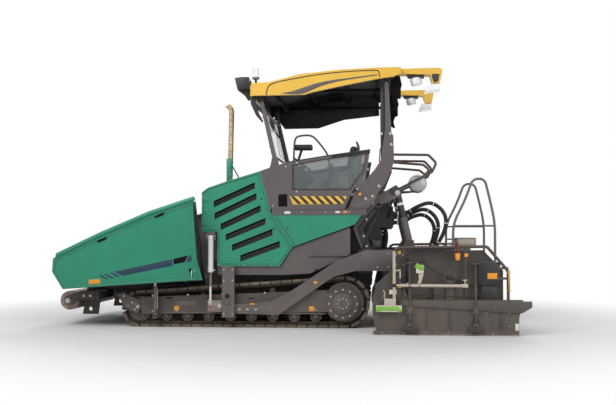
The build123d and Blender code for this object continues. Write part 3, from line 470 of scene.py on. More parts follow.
class Shape:
    """A mesh under construction in metres. A y value is a distance from the centre line towards the side."""

    def __init__(self, side=1):
        self.mesh = bmesh.new()
        self.side = side

    def spot(self, x, y, z):
        return Vector((x, self.side * y, z))

    def soften(self, edges, width, segments=2):
        if width:
            bmesh.ops.bevel(self.mesh, geom=edges, offset=width, offset_type="OFFSET", segments=segments, profile=0.5,
                affect="EDGES", material=-1, clamp_overlap=True)

    def block(self, x, y, z, edge=0.003):
        """A box between two values on each axis, with softened edges."""
        low, high = self.spot(x[0], y[0], z[0]), self.spot(x[1], y[1], z[1])
        size = Matrix.Diagonal((abs(high.x - low.x), abs(high.y - low.y), abs(high.z - low.z), 1))
        made = bmesh.ops.create_cube(self.mesh, size=1, matrix=Matrix.Translation((low + high) / 2) @ size)
        self.soften(lines_at(made["verts"]), edge)

    def grow(self, corners, travel, edge):
        """A flat outline given thickness."""
        face = self.mesh.faces.new([self.mesh.verts.new(corner) for corner in corners])
        made = bmesh.ops.extrude_face_region(self.mesh, geom=[face])["geom"]
        moved = [item for item in made if isinstance(item, bmesh.types.BMVert)]
        bmesh.ops.translate(self.mesh, verts=moved, vec=travel)
        self.soften(lines_at(moved + list(face.verts)), edge)

    def plate(self, outline, y, edge=0.002):
        """A plate with an (x, z) outline between two distances from the centre line."""
        self.grow([self.spot(x, y[0], z) for x, z in outline], Vector((0, self.side * (y[1] - y[0]), 0)), edge)

    def hoop(self, outline, width, y, edge=0.002):
        """A flat ring that lines an (x, z) outline on its inside, between two distances from the centre line."""
        turning = sum(here[0] * after[1] - after[0] * here[1] for here,
            after in zip(outline, outline[1:] + outline[:1]))
        inwards = math.copysign(width, turning)
        inner = []
        for before, here, after in zip(outline[-1:] + outline[:-1], outline, outline[1:] + outline[:1]):
            run_in = (Vector(here) - Vector(before)).normalized()
            run_out = (Vector(after) - Vector(here)).normalized()
            across = Vector((-run_in.y - run_out.y, run_in.x + run_out.x))
            inner.append(Vector(here) + across * inwards / (1 + run_in.dot(run_out)))
        outer_corners = [self.mesh.verts.new(self.spot(x, y[0], z)) for x, z in outline]
        inner_corners = [self.mesh.verts.new(self.spot(x, y[0], z)) for x, z in inner]
        faces = []
        for first in range(len(outline)):
            last = (first + 1) % len(outline)
            faces.append(self.mesh.faces.new((outer_corners[first], outer_corners[last], inner_corners[last],
                inner_corners[first])))
        made = bmesh.ops.extrude_face_region(self.mesh, geom=faces)["geom"]
        moved = [item for item in made if isinstance(item, bmesh.types.BMVert)]
        bmesh.ops.translate(self.mesh, verts=moved, vec=(0, self.side * (y[1] - y[0]), 0))
        rims = lines_at(moved + outer_corners + inner_corners)
        self.soften([line for line in rims if line.calc_face_angle(0) > 1], edge)

    def section(self, outline, x, edge=0.002):
        """A slab with a (y, z) outline between two x values."""
        self.grow([self.spot(x[0], y, z) for y, z in outline], Vector((x[1] - x[0], 0, 0)), edge)

    def rod(self, start, end, radius, tip=None, sides=20, edge=0.0):
        """A round bar, or a cone where tip is given."""
        first, last = self.spot(*start), self.spot(*end)
        run = last - first
        place = Matrix.Translation((first + last) / 2) @ run.to_track_quat("Z", "Y").to_matrix().to_4x4()
        made = bmesh.ops.create_cone(self.mesh, cap_ends=True, cap_tris=False, segments=sides, radius1=radius,
            radius2=radius if tip is None else tip, depth=run.length, matrix=place)
        if edge:
            self.soften([line for line in lines_at(made["verts"]) if any(len(face.verts) > 4
                for face in line.link_faces)], edge)

    def disc(self, x, z, y, radius, sides=28, edge=0.002):
        """A round plate facing sideways."""
        self.rod((x, y[0], z), (x, y[1], z), radius, None, sides, edge)

    def bolt(self, place, axis=OUT, size=0.012):
        """A hexagon bolt head on its washer, standing out along axis."""
        base = Vector(place)
        out = Vector(axis).normalized()
        self.rod(base - out * size * 0.3, base + out * size * 0.25, size * 1.35, sides=16)
        self.rod(base, base + out * size * 0.95, size, size * 0.94, sides=6)

    def bolts(self, spots, y, size=0.012):
        """Bolts facing sideways at (x, z) places."""
        for x, z in spots:
            self.bolt((x, y, z), OUT, size)

    def spin(self, parts, middle, axis, steps):
        """A full turn of an outline round an axis."""
        bmesh.ops.spin(self.mesh, geom=parts, cent=middle, axis=axis, dvec=(0, 0, 0), angle=math.tau,
            space=Matrix.Identity(4), steps=steps, use_merge=True, use_normal_flip=False, use_duplicate=False)

    def ring(self, centre, axis, radius, thick, steps=32, sides=10):
        """A round wire ring."""
        middle = self.spot(*centre)
        out = Vector((axis[0], self.side * axis[1], axis[2])).normalized()
        across = out.orthogonal().normalized()
        turn = Matrix((across, out, across.cross(out))).transposed().to_4x4()
        place = Matrix.Translation(middle + across * radius) @ turn
        made = bmesh.ops.create_circle(self.mesh, segments=sides, radius=thick, matrix=place)["verts"]
        self.spin(made + lines_at(made), middle, out, steps)

    def turned(self, centre, axis, profile, steps=32):
        """A lathed solid: profile is a closed list of (distance along axis, radius)."""
        middle = self.spot(*centre)
        out = Vector((axis[0], self.side * axis[1], axis[2])).normalized()
        across = out.orthogonal().normalized()
        corners = [self.mesh.verts.new(middle + out * along + across * radius) for along, radius in profile]
        lines = [self.mesh.edges.new(pair) for pair in zip(corners, corners[1:] + corners[:1])]
        self.spin(corners + lines, middle, out, steps)

    def lathe(self, centre, axis, profile, steps=32):
        """A solid lathed part: its profile runs from one end face to the other."""
        core = 0.0005
        self.turned(centre, axis, [(profile[0][0], core), *profile, (profile[-1][0], core)], steps)

    def collar(self, centre, axis, inner, outer, length, steps=32):
        """A plain ring with square edges."""
        self.turned(centre, axis, [(0, inner), (0, outer), (length, outer), (length, inner)], steps)

    def ball(self, centre, radius, stretch=(1, 1, 1)):
        place = Matrix.Translation(self.spot(*centre)) @ Matrix.Diagonal((*stretch, 1))
        bmesh.ops.create_uvsphere(self.mesh, u_segments=20, v_segments=12, radius=radius, matrix=place)

    def tube(self, points, radius, sides=3):
        """A bent round tube: its line cuts inside the corners of the points."""
        mesh = bent_line([self.spot(*point) for point in points], 8, radius, sides)
        self.mesh.from_mesh(mesh)
        bpy.data.meshes.remove(mesh)

    def copies(self, mesh, places):
        """Copies of a mesh at each place."""
        for place in places:
            count = len(self.mesh.verts)
            self.mesh.from_mesh(mesh)
            self.mesh.verts.ensure_lookup_table()
            bmesh.ops.transform(self.mesh, matrix=place, verts=self.mesh.verts[count:])

    def data(self, name):
        """The finished mesh."""
        bmesh.ops.remove_doubles(self.mesh, verts=self.mesh.verts, dist=1e-6)
        bmesh.ops.recalc_face_normals(self.mesh, faces=self.mesh.faces)
        mesh = bpy.data.meshes.new(name)
        self.mesh.to_mesh(mesh)
        self.mesh.free()
        mesh.polygons.foreach_set("use_smooth", [True] * len(mesh.polygons))
        mesh.set_sharp_from_angle(angle=SHARP_ANGLE)
        return mesh

    def piece(self, name, finish, body="tractor", slot=None):
        """The finished object, riding on its body where one is named."""
        mesh = self.data(name)
        mesh.materials.append(FINISHES[finish])
        thing = show(name, mesh)
        if body:
            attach(thing, body)
        return thing


def both(build, *looks, **slot):
    """A piece with the same details on each side of the machine, named after the function that shapes it."""
    shape = Shape()
    for shape.side in (-1, 1):
        build(shape)
    return shape.piece(build.__name__, *looks, **slot)


def one(side, build, *looks, **slot):
    """A piece on one side of the machine, with the side in its name."""
    shape = Shape(side)
    build(shape)
    return shape.piece(build.__name__ + ("_left" if side < 0 else "_right"), *looks, **slot)


def whole(build, *looks, **slot):
    """A piece that spans the machine, or has one place on it."""
    shape = Shape()
    build(shape)
    return shape.piece(build.__name__, *looks, **slot)


def coat(finish, *nodes):
    """Gives nodes of the frame a finish."""
    for node in nodes:
        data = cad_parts[node].data
        data.materials.clear()
        data.materials.append(FINISHES[finish])


class PAVER_OT_coats(bpy.types.Operator):
    """Makes the finishes and coats the frame's own parts"""

    bl_idname = "paver.coats"
    bl_label = "Coats"

    def execute(self, context):
        make_finishes(context.scene.paver_colours, context.scene.paver_wear)
        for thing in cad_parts.values():
            thing.data.materials.clear()
            thing.data.materials.append(FINISHES["dark"])
        coat("green", "hood", "hood_top", "side_panels", "door_left", "door_right")
        coat("wing", "wing_left", "wing_right")
        coat("grey", "cab_sides", "side_tanks", "deck", "rear_pillars", "roof_rear_posts", "roof_front_posts",
            "tow_arms", "tow_guides", "lift_brackets", "wing_cylinder_left", "wing_cylinder_right", "lift_rods")
        coat("chassis", "main_frame", "auger_frame", "push_beam", "hopper_floor")
        coat("rails", "rear_rails", "guard_rail_left", "guard_rail_right")
        coat("stair", "stair")
        coat("residue", "conveyors")
        coat("steel", "push_roller_left", "push_roller_right", "tow_blocks")
        coat("iron", "engine_block")
        coat("glass", "side_glass")
        coat("screen", "windscreen")
        coat("plastic", "console")
        coat("chrome", "wing_rod_left", "wing_rod_right")
        coat("black", "rear_body", "lift_barrels")
        coat("roof", "roof")
        coat("lamp", "roof_lamps")
        coat("aluminium", "sensor_arm_left", "sensor_arm_right")
        return {"FINISHED"}


# ---- tracks

IDLER = (-2.182, 0.22)    # centre x, radius to the belt
SPROCKET = (0.87, 0.33)
SHOE_THICK = 0.05
# the belt's straight runs, the lean of the upper one, its heading, the bend round the sprocket and the whole length
RUN = SPROCKET[0] - IDLER[0]
TILT = 2 * math.atan2(SPROCKET[1] - IDLER[1], RUN)
TOP = math.pi / 2 + TILT
REAR_ARC = SPROCKET[1] * (TOP + math.pi / 2)
BELT = 2 * RUN + SPROCKET[1] * (math.pi + TILT) + IDLER[1] * (math.pi - TILT)


def round_wheel(wheel, angle):
    """Place and heading of the belt where it bends round a wheel."""
    middle, radius = wheel
    return middle + radius * math.cos(angle), radius + SHOE_THICK + radius * math.sin(angle), angle + math.pi / 2


def belt_place(distance):
    """Place and heading of the belt's outer face, measured round from under the idler."""
    if distance <= RUN:
        return IDLER[0] + distance, SHOE_THICK, 0.0
    distance -= RUN
    if distance <= REAR_ARC:
        return round_wheel(SPROCKET, distance / SPROCKET[1] - math.pi / 2)
    distance -= REAR_ARC
    if distance <= RUN:
        x, z, heading = round_wheel(SPROCKET, TOP)
        return x - distance * math.sin(TOP), z + distance * math.cos(TOP), heading
    return round_wheel(IDLER, TOP + (distance - RUN) / IDLER[1])


def shoe_places(count):
    """Where each shoe sits: its own z points inwards from the belt's outer face."""
    pitch = BELT / count
    places = []
    for index in range(count):
        x, z, heading = belt_place((index + 0.5) * pitch)
        places.append(Matrix.Translation((x, 0, z)) @ Matrix.Rotation(-heading, 4, "Y"))
    return places


def circle(x, z, radius, count):
    """Places spread evenly round a circle."""
    return [(x + radius * math.cos(math.tau * step / count), z + radius * math.sin(math.tau * step / count))
        for step in range(count)]


def track_frame_bolts(shape):
    shape.bolts(circle(0.855, 0.36, 0.205, 12), 1.2, 0.011)
    shape.bolts(circle(0.855, 0.36, 0.075, 8), 1.218, 0.009)
    shape.bolts([(x, 0.462 + (x + 1.98) * 0.031) for x in (-1.98, -1.45, -0.93, -0.3, 0.22)], 1.19, 0.011)
    shape.bolts([(x, 0.232 + (x + 1.98) * 0.017) for x in (-1.98, -1.62, -1.08, -0.55, 0.0, 0.45)], 1.19, 0.009)
    shape.bolt((-2.208, 1.19, 0.3), OUT, 0.02)
    shape.bolts([(-2.42, 0.455), (-2.29, 0.36), (-2.25, 0.26)], 1.19, 0.01)


def track_hubs(shape):
    shape.lathe((0.855, 1.199, 0.36), OUT, [(0, 0.15), (0.01, 0.15), (0.014, 0.142), (0.014, 0.105), (0.019, 0.098),
        (0.019, 0.04), (0.013, 0.034)], 40)
    # folded stiffeners and inspection covers along the beam's cover
    for x in (-1.62, -0.36):
        shape.block((x, x + 0.3), (1.189, 1.196), (0.315, 0.385), 0.004)
    shape.block((-2.05, 0.6), (1.189, 1.199), (0.205, 0.222))
    for x in (-2.36, -2.24):
        shape.disc(x, 0.31 + (x + 2.36) * 0.2, (1.189, 1.197), 0.03)
    for index in range(8):
        shape.lathe((-1.79 + 0.32 * index, 1.1, 0.166), OUT, [(0, 0.06), (0.012, 0.055), (0.03, 0.03),
            (0.045, 0.028)], 24)


def track_frame_plates(shape):
    for x, z, wide, high in ((-1.618, 0.279, 0.075, 0.07), (0.393, 0.283, 0.075, 0.07)):
        shape.block(about(x, wide / 2), (1.189, 1.1925), about(z, high / 2), 0.001)


def sprocket_teeth(shape):
    for x, z in circle(SPROCKET[0], 0.38, 0.292, 22):
        shape.rod((x, 0.985, z), (x, 1.05, z), 0.02, sides=8)


class PAVER_OT_tracks(bpy.types.Operator):
    """Rubber-padded shoes on their chains, and the bolts and hubs of the track frames"""

    bl_idname = "paver.tracks"
    bl_label = "Tracks"

    def execute(self, context):
        count = context.scene.paver_wear.shoes
        half = BELT / count / 2
        middle = (TRACK_INNER + TRACK_OUTER) / 2
        for name, side in SIDES:
            pad = Shape(side)
            pad.block((0.006 - half, half - 0.006), (TRACK_INNER, TRACK_OUTER), (-0.05, -0.012), 0.009)
            for groove in (-0.028, 0.028):
                pad.block(about(groove, 0.004), (TRACK_INNER + 0.02, TRACK_OUTER - 0.02), (-0.0505, -0.046), 0.001)
            pads = Shape()
            pads.copies(pad.data("pad"), shoe_places(count))
            pads_piece = pads.piece(f"track_pads_{name}", "shoe")
            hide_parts(f"track_{name}")
            link = Shape(side)
            link.block((0.004 - half, half - 0.004), (TRACK_INNER + 0.008, TRACK_OUTER - 0.008), (-0.013, -0.002),
                0.002)
            for rail in (middle - 0.052, middle + 0.036):
                link.block((0.002 - half, half - 0.002), (rail, rail + 0.016), (-0.003, 0.03), 0.004)
            link.rod((-half, middle - 0.056, 0.014), (-half, middle + 0.056, 0.014), 0.01, sides=12)
            for nut_x in (-0.03, 0.03):
                for nut_y in about(middle, 0.11):
                    link.rod((nut_x, nut_y, -0.003), (nut_x, nut_y, 0.006), 0.011, sides=6)
            chain = Shape()
            chain.copies(link.data("link"), shoe_places(count))
            chain.piece(f"track_chain_{name}", "chain")
        both(track_frame_bolts, "zinc")
        both(track_hubs, "grey")
        both(track_frame_plates, "orange")
        both(sprocket_teeth, "chain")
        return {"FINISHED"}


# ---- hopper

WING_RIM = ((-3.322, 1.076), (-2.655, 1.382), (-1.918, 1.685), (-1.289, 1.886))


def wing_y(z):
    """Distance of a wing wall's outer face from the centre line."""
    return 1.432 + (z - 0.568) * 0.16692


def on_wall(shape, outline, thick):
    """A thin plate that lies on the wing's leaning wall."""
    out = Vector((0, shape.side, -0.167)).normalized()
    corners = [shape.spot(x, wing_y(z), z) - out * 0.002 for x, z in outline]
    shape.grow(corners, out * (thick + 0.002), 0.0008)


def wing_folds(shape):
    # flange folded along the lower edge, upright folds at both ends and a fold under the rim
    on_wall(shape, [(-3.262, 0.582), (-3.25, 0.606), (-1.3, 0.742), (-1.24, 0.722)], 0.014)
    on_wall(shape, [(-1.33, 0.735), (-1.3, 1.845), (-1.292, 1.848), (-1.262, 1.0), (-1.236, 0.742)], 0.01)
    for first, second in zip(WING_RIM, WING_RIM[1:]):
        on_wall(shape, [(first[0], first[1] - 0.07), (first[0], first[1] - 0.05), (second[0], second[1] - 0.05),
            (second[0], second[1] - 0.07)], 0.008)
    on_wall(shape, [(-3.405, 0.83), (-3.383, 1.01), (-3.318, 1.06), (-3.318, 1.03), (-3.355, 0.995), (-3.378, 0.83),
        (-3.255, 0.605), (-3.275, 0.59)], 0.01)
    # gussets under the floor
    for x in (-3.1, -2.55, -1.5):
        shape.section([(0.83, 0.6), (1.4, 0.695), (1.4, 0.716), (0.83, 0.628)], (x, x + 0.014))
    # rim ends
    for x, z in (WING_RIM[0], WING_RIM[-1]):
        shape.ball((x, wing_y(z) - 0.012, z), 0.0342)


def wing_stripes(shape):
    on_wall(shape, [(-2.487, 0.829), (-1.613, 1.017), (-1.613, 0.92), (-2.361, 0.77)], 0.002)
    on_wall(shape, [(-1.365, 1.073), (-1.334, 1.079), (-1.334, 0.985), (-1.416, 0.971)], 0.002)
    for x, z in ((-2.718, 0.777), (-2.64, 0.792), (-2.55, 0.813)):
        on_wall(shape, [(x, z), (x + 0.038, z + 0.008), (x + 0.15, z - 0.052), (x + 0.108, z - 0.063)], 0.002)


def wing_slots(shape):
    # the black end of the stripe, and near-black plates as painted shade in the slots under the rim for a lifting
    # sling and in the recess behind the hook
    on_wall(shape, [(-1.598, 1.02), (-1.379, 1.07), (-1.437, 0.971), (-1.598, 0.94)], 0.002)
    for x, z in ((-1.782, 1.671), (-2.647, 1.315)):
        on_wall(shape, [(x - 0.075, z - 0.032), (x + 0.075, z + 0.03), (x + 0.06, z - 0.012), (x - 0.055, z - 0.058)],
            0.012)
    on_wall(shape, [(-1.372, 0.88), (-1.262, 0.88), (-1.262, 0.835), (-1.305, 0.835), (-1.305, 0.735), (-1.35, 0.735),
        (-1.35, 0.835), (-1.372, 0.835)], 0.006)


def push_bar_bolts(shape):
    for x in (-3.06, -2.93):
        for y in (0.22, 0.52, 0.95):
            shape.bolt((x, y, 0.52), UP, 0.016)
    shape.bolts([(-3.305, 0.375)], 1.105, 0.03)
    shape.bolts([(-3.06, 0.45), (-2.96, 0.45)], 1.105, 0.014)


def conveyor_chains(shape):
    for strand in (0.13, 0.56):
        for x in row(-2.98, 0.1, 42):
            shape.block(about(x, 0.044), about(strand, 0.013), (0.648, 0.66), 0.004)
            shape.rod((x + 0.05, strand - 0.026, 0.652), (x + 0.05, strand + 0.026, 0.652), 0.007, sides=8)


def hopper_front_details(shape):
    # step, lamp bracket and hydraulic couplings under the hopper's front
    shape.block((-3.04, -2.72), (0.84, 1.06), (0.525, 0.545), 0.004)
    for x in (-2.98, -2.86, -2.76):
        shape.rod((x, 0.9, 0.52), (x, 0.9, 0.57), 0.016, sides=12)
    shape.block((-2.68, -2.4), (0.785, 0.835), (0.43, 0.53), 0.006)
    shape.block((-2.38, -2.24), (0.785, 0.9), (0.4, 0.52), 0.006)
    shape.tube([(-2.66, 0.8, 0.5), (-2.6, 0.93, 0.5), (-2.45, 0.95, 0.46), (-2.3, 0.88, 0.46)], 0.013)
    shape.tube([(-2.62, 0.8, 0.46), (-2.55, 0.9, 0.44), (-2.42, 0.93, 0.42), (-2.28, 0.88, 0.42)], 0.011)
    for x in (-1.2, -0.6, 0.0, 0.6):
        shape.block((x, x + 0.02), (0.779, 0.8), (0.62, 0.97), 0.002)


class PAVER_OT_hopper(bpy.types.Operator):
    """Ribs, flanges, stripes, plates and hooks of the hopper wings, the conveyor chains and the push rollers"""

    bl_idname = "paver.hopper"
    bl_label = "Hopper"

    def execute(self, context):
        for name, side in SIDES:
            wing = f"wing_{name}"
            one(side, wing_folds, "green", wing)
            one(side, wing_stripes, "navy", wing)
            one(side, wing_slots, "black_and_painted_shade", wing)
            plate = Shape(side)
            on_wall(plate, [(-2.872, 0.64), (-2.872, 0.708), (-2.7, 0.72), (-2.7, 0.652)], 0.003)
            plate.piece(f"wing_plate_{name}", "orange", wing)
            hook = Shape(side)
            hook.tube([(-1.335, wing_y(0.8) + 0.012, 0.86), (-1.325, wing_y(0.8) + 0.035, 0.84),
                (-1.335, wing_y(0.76) + 0.045, 0.76), (-1.325, wing_y(0.73) + 0.02, 0.72)], 0.008)
            hook.bolt((-1.29, wing_y(0.85) + 0.004, 0.85), (0, 1, -0.17), 0.009)
            hook.piece(f"wing_hook_{name}", "chrome", wing)
            ram = Shape(side)
            ram.ring((-1.915, 1.2992, 0.618), (0, 0.02, 1), 0.026, 0.006)
            ram.rod((-1.915, 1.292, 0.3), (-1.89, 1.292, 0.3), 0.009)
            ram.rod((-1.915, 1.297, 0.56), (-1.89, 1.297, 0.56), 0.009)
            ram.rod((-1.886, 1.292, 0.285), (-1.886, 1.297, 0.575), 0.007)
            ram.piece(f"wing_cylinder_fittings_{name}", "zinc", f"wing_cylinder_{name}")
            roller = Shape(side)
            for low in (0.06, 0.985):
                roller.collar((-3.305, low, 0.375), OUT, 0.06, 0.1445, 0.022, 48)
            roller.piece(f"push_roller_rims_{name}", "steel", f"push_roller_{name}")
        both(push_bar_bolts, "zinc", "push_bar")
        both(conveyor_chains, "chain")
        both(hopper_front_details, "black", slot="paint_dark")
        apron = Shape()
        apron.block((-3.15, -3.122), (-0.77, 0.77), (0.56, 0.742), 0.006)
        apron.piece("hopper_apron", "hose", slot="track_rubber")
        return {"FINISHED"}


# ---- hood and exhaust

# louvre slots of a door, each as left x, left z, right x, right z of its upper edge
LOUVRES = ((-1.065, 1.872, -0.45, 2.15), (-1.054, 1.691, -0.424, 1.99), (-0.96, 1.533, -0.362, 1.81),
    (-0.884, 1.377, -0.29, 1.62), (-0.79, 1.222, -0.185, 1.46), (-0.664, 1.067, -0.075, 1.28))
LOUVRE_HEIGHT = 0.095
HOOD_LINE = ((-1.24, 2.003), (-1.152, 2.068), (-0.821, 2.179), (-0.376, 2.31))


def louvre_shadows(shape):
    for left_x, left_z, right_x, right_z in LOUVRES:
        shape.plate([(left_x, left_z), (right_x, right_z), (right_x, right_z - LOUVRE_HEIGHT),
            (left_x, left_z - LOUVRE_HEIGHT)], (1.1785, 1.1805), 0)


def louvre_fins(shape):
    for left_x, left_z, right_x, right_z in LOUVRES:
        # two slanted fins deep in the slot, black as painted shade
        for drop in (0.034, 0.064):
            ends = [shape.spot(x, 1.1802, z - drop) for x, z in ((left_x, left_z), (right_x, right_z))]
            slant = Vector((0, shape.side * 0.012, -0.014))
            corners = [ends[0], ends[1], ends[1] + slant, ends[0] + slant]
            shape.grow(corners, Vector((0, 0, -0.0035)), 0.0008)


def door_latches(shape):
    for x, z in ((-0.349, 1.903), (-0.165, 1.463)):
        shape.lathe((x, 1.1995, z), OUT, [(0, 0.015), (0.005, 0.014), (0.007, 0.009)], 24)


def hood_folds(shape):
    # rain gutter along the top and a stiffening swage on the sheet
    for first, second in zip(HOOD_LINE, HOOD_LINE[1:]):
        shape.plate([first, second, (second[0], second[1] - 0.018), (first[0], first[1] - 0.018)], (1.199, 1.207))
        for y in (0.3, 0.72):
            ends = [shape.spot(first[0], y, first[1] + 0.002), shape.spot(second[0], y, second[1] + 0.002)]
            across = Vector((0, shape.side * 0.11, 0))
            shape.grow([ends[0], ends[1], ends[1] + across, ends[0] + across], Vector((0, 0, 0.008)), 0.003)
    for z in (1.5, 1.68, 1.86):
        shape.block((-1.216, -1.15), (1.1995, 1.204), (z + 0.006, z + 0.064))


def hood_bolts(shape):
    shape.bolts([(-1.232, 1.46), (-1.232, 1.62), (-1.232, 1.8), (-1.232, 1.94), (-0.985, 0.925), (-0.6, 0.923),
        (-0.2, 0.923)], 1.2005, 0.007)
    for first, second in zip(HOOD_LINE, HOOD_LINE[1:]):
        middle = ((first[0] + second[0]) / 2, (first[1] + second[1]) / 2)
        for y in (0.15, 0.6, 1.0):
            shape.bolt((middle[0], y, middle[1] + 0.003), (-0.3, 0, 1), 0.008)
    # lifting eye
    shape.ring((-0.7, 0.02, 2.24), OUT, 0.026, 0.008)


def panel_latches(shape):
    shape.turned((0.033, 1.1995, 1.464), OUT, [(0, 0.0005), (0, 0.015), (0.005, 0.014), (0.007, 0.0005)], 24)
    # seam between the side panel and its door
    shape.plate([(-0.14, 1.64), (-0.128, 1.64), (0.165, 1.195), (0.152, 1.195)], (1.1985, 1.2005), 0)
    shape.disc(0.456, 0.859, (1.164, 1.169), 0.022)


def radiator_grille(shape):
    for z in row(1.45, 0.031, 16):
        shape.block((-1.2535, -1.244), (-0.92, 0.92), (z, z + 0.013), 0.002)
    for y in (-0.94, -0.32, 0.3, 0.92):
        shape.block((-1.2555, -1.244), (y, y + 0.02), (1.44, 1.955), 0.002)


def engine_details(shape):
    for x in row(-0.85, 0.14, 6):
        shape.lathe((x, 0.0, 1.64), UP, [(0, 0.052), (0.03, 0.052), (0.04, 0.035), (0.055, 0.03)], 24)
        for side in (-1, 1):
            shape.tube([(x, side * 0.42, 1.58), (x, side * 0.5, 1.6), (x, side * 0.56, 1.64),
                (x + 0.01, side * 0.58, 1.7)], 0.024)
    for side in (-1, 1):
        shape.rod((-0.92, side * 0.585, 1.715), (-0.06, side * 0.585, 1.715), 0.045, sides=24, edge=0.006)
        for x in row(-0.92, 0.07, 14):
            shape.block((x, x + 0.012), (side * 0.429, side * 0.437), (1.06, 1.23), 0.002)
        shape.tube([(-0.1, side * 0.44, 1.3), (-0.02, side * 0.62, 1.28), (-0.14, side * 0.72, 1.12),
            (-0.5, side * 0.66, 1.06), (-0.86, side * 0.52, 1.05)], 0.019)
    shape.rod((-0.78, -0.1, 1.74), (-0.78, -0.46, 1.9), 0.055, sides=24, edge=0.004)
    shape.tube([(-0.78, -0.4, 1.88), (-0.86, -0.49, 1.94), (-0.94, -0.5, 2.02), (-0.944, -0.5, 2.17)], 0.036)
    for x, z, wide in ((-0.955, 1.1, 0.09), (-0.955, 1.35, 0.07)):
        shape.lathe((x - 0.03, 0.0, z), AFT, [(0, wide), (0.008, wide - 0.012), (0.016, wide), (0.024, wide)], 36)


def pipe():
    """The exhaust: a bent pipe, cut off square at its mouth and hollowed out."""
    shape = Shape(-1)
    shape.tube([(-0.94, 0.5, 2.1), (-0.927, 0.5, 2.7), (-0.918, 0.5, 3.14), (-0.914, 0.5, 3.33), (-0.935, 0.5, 3.362),
        (-1.03, 0.5, 3.44)], 0.041, 6)
    geometry = self_parts(shape)
    bmesh.ops.bisect_plane(shape.mesh, geom=geometry, plane_co=(-0.98, 0, 3.395), plane_no=(-0.5, 0, 1),
        clear_outer=True)
    ends = [face for face in shape.mesh.faces if len(face.verts) > 4]
    bmesh.ops.delete(shape.mesh, geom=ends, context="FACES_ONLY")
    bmesh.ops.recalc_face_normals(shape.mesh, faces=shape.mesh.faces)
    bmesh.ops.solidify(shape.mesh, geom=self_parts(shape), thickness=0.003)
    return shape


class PAVER_OT_hood(bpy.types.Operator):
    """Louvres, folds, latches and grille of the engine hood, the engine behind its doors and the exhaust"""

    bl_idname = "paver.hood"
    bl_label = "Hood"

    def execute(self, context):
        for name, side in SIDES:
            body = f"door_{name}"
            one(side, louvre_shadows, "black_and_painted_shade", body)
            # the louvre fins are black plastic as painted shade
            one(side, louvre_fins, "plastic", body, "paint_dark")
            one(side, door_latches, "plastic", body)
        both(hood_folds, "green")
        both(hood_bolts, "zinc")
        both(panel_latches, "plastic")
        whole(radiator_grille, "black", slot="paint_dark")
        whole(engine_details, "iron")
        filters = Shape()
        filters.lathe((-0.3, -0.66, 1.18), AFT, [(0, 0.105), (0.04, 0.115), (0.38, 0.115), (0.42, 0.1)], 40)
        for x in (-0.62, -0.45):
            filters.lathe((x, 0.6, 1.14), UP, [(0, 0.05), (0.02, 0.056), (0.19, 0.056), (0.2, 0.045)])
        filters.piece("engine_filters", "plastic")
        pipe().piece("exhaust_pipe", "exhaust")
        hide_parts("exhaust")
        bracket = Shape(-1)
        bracket.plate([(-0.986, 2.558), (-0.91, 2.568), (-0.904, 2.472), (-0.93, 2.13), (-0.985, 2.115)],
            (0.546, 0.554))
        bracket.rod((-0.915, 0.55, 2.48), (-0.753, 0.55, 2.19), 0.011, sides=12)
        bracket.piece("exhaust_bracket", "green")
        clamps = Shape(-1)
        for x, z in ((-0.9413, 2.3), (-0.9385, 2.5)):
            clamps.collar((x + 0.006, 0.5, z), (0.02, 0, 1), 0.0405, 0.0455, 0.02, 36)
            clamps.rod((x, 0.538, z + 0.01), (x, 0.562, z + 0.01), 0.007, sides=8)
        clamps.piece("exhaust_clamps", "zinc", slot="bright_steel")
        return {"FINISHED"}


def self_parts(shape):
    """Everything in a shape's mesh, as operators take it."""
    return list(shape.mesh.verts) + list(shape.mesh.edges) + list(shape.mesh.faces)


# ---- cab

SIDE_WINDOW = [(0.105, 2.408), (0.623, 2.497), (1.208, 2.575), (1.17, 2.318), (0.965, 2.03), (0.105, 2.03)]
WARNING_BOARD = [(0.069, 1.94), (0.917, 1.937), (0.858, 1.822), (0.119, 1.815)]


def window_rubbers(shape):
    shape.hoop(SIDE_WINDOW, 0.016, (1.172, 1.2035), 0.003)
    shape.hoop([(0.06, 2.455), (0.623, 2.543), (1.262, 2.629), (1.262, 2.62), (0.623, 2.532), (0.06, 2.444)], 0.004,
        (1.164, 1.206), 0.001)
    for z in (2.581, 2.612):
        shape.rod((0.694, 1.206, z - 0.0765), (1.2565, 1.206, z), 0.0155, sides=16)


def warning_boards(shape):
    shape.plate(WARNING_BOARD, (1.2045, 1.2065), 0.0005)


def warning_stripes(shape):
    for left in row(0.08, 0.118, 6):
        shape.plate([(left, 1.9385), (left + 0.056, 1.9385), (left + 0.17, 1.824), (left + 0.114, 1.8205)],
            (1.206, 1.2078), 0.0004)
    shape.plate([(0.788, 1.937), (0.844, 1.937), (0.891, 1.889), (0.872, 1.854)], (1.206, 1.2078), 0.0004)


def cab_bolts(shape):
    shape.bolts([(0.174, 2.432), (0.174, 2.01), (0.9, 2.552), (1.225, 2.33), (1.065, 2.04)], 1.2005, 0.011)
    for x, z in ((1.424, 2.858), (1.553, 2.857), (1.567, 2.698), (1.289, 1.935), (1.385, 2.085), (1.19, 1.9)):
        shape.lathe((x, 1.1545, z), OUT, [(0, 0.021), (0.005, 0.021), (0.006, 0.016), (0.014, 0.014)], 20)
    shape.bolts([(-0.18, 1.8), (0.01, 2.38)], 1.2005, 0.009)
    for x in (0.25, 0.6, 0.95):
        shape.bolt((x, 1.2005, 1.705), OUT, 0.008)


def cab_plates(shape):
    shape.plate([(1.107, 1.996), (1.137, 1.966), (1.107, 1.936), (1.077, 1.966)], (1.1995, 1.202), 0.0008)
    shape.block((0.86, 0.92), (1.1995, 1.201), (1.69, 1.72), 0.0005)


def cab_pale_plates(shape):
    shape.block((-0.008, 0.08), (1.1995, 1.2015), (1.678, 1.716), 0.0006)
    shape.block((0.745, 0.815), (1.1995, 1.201), (1.688, 1.718), 0.0006)


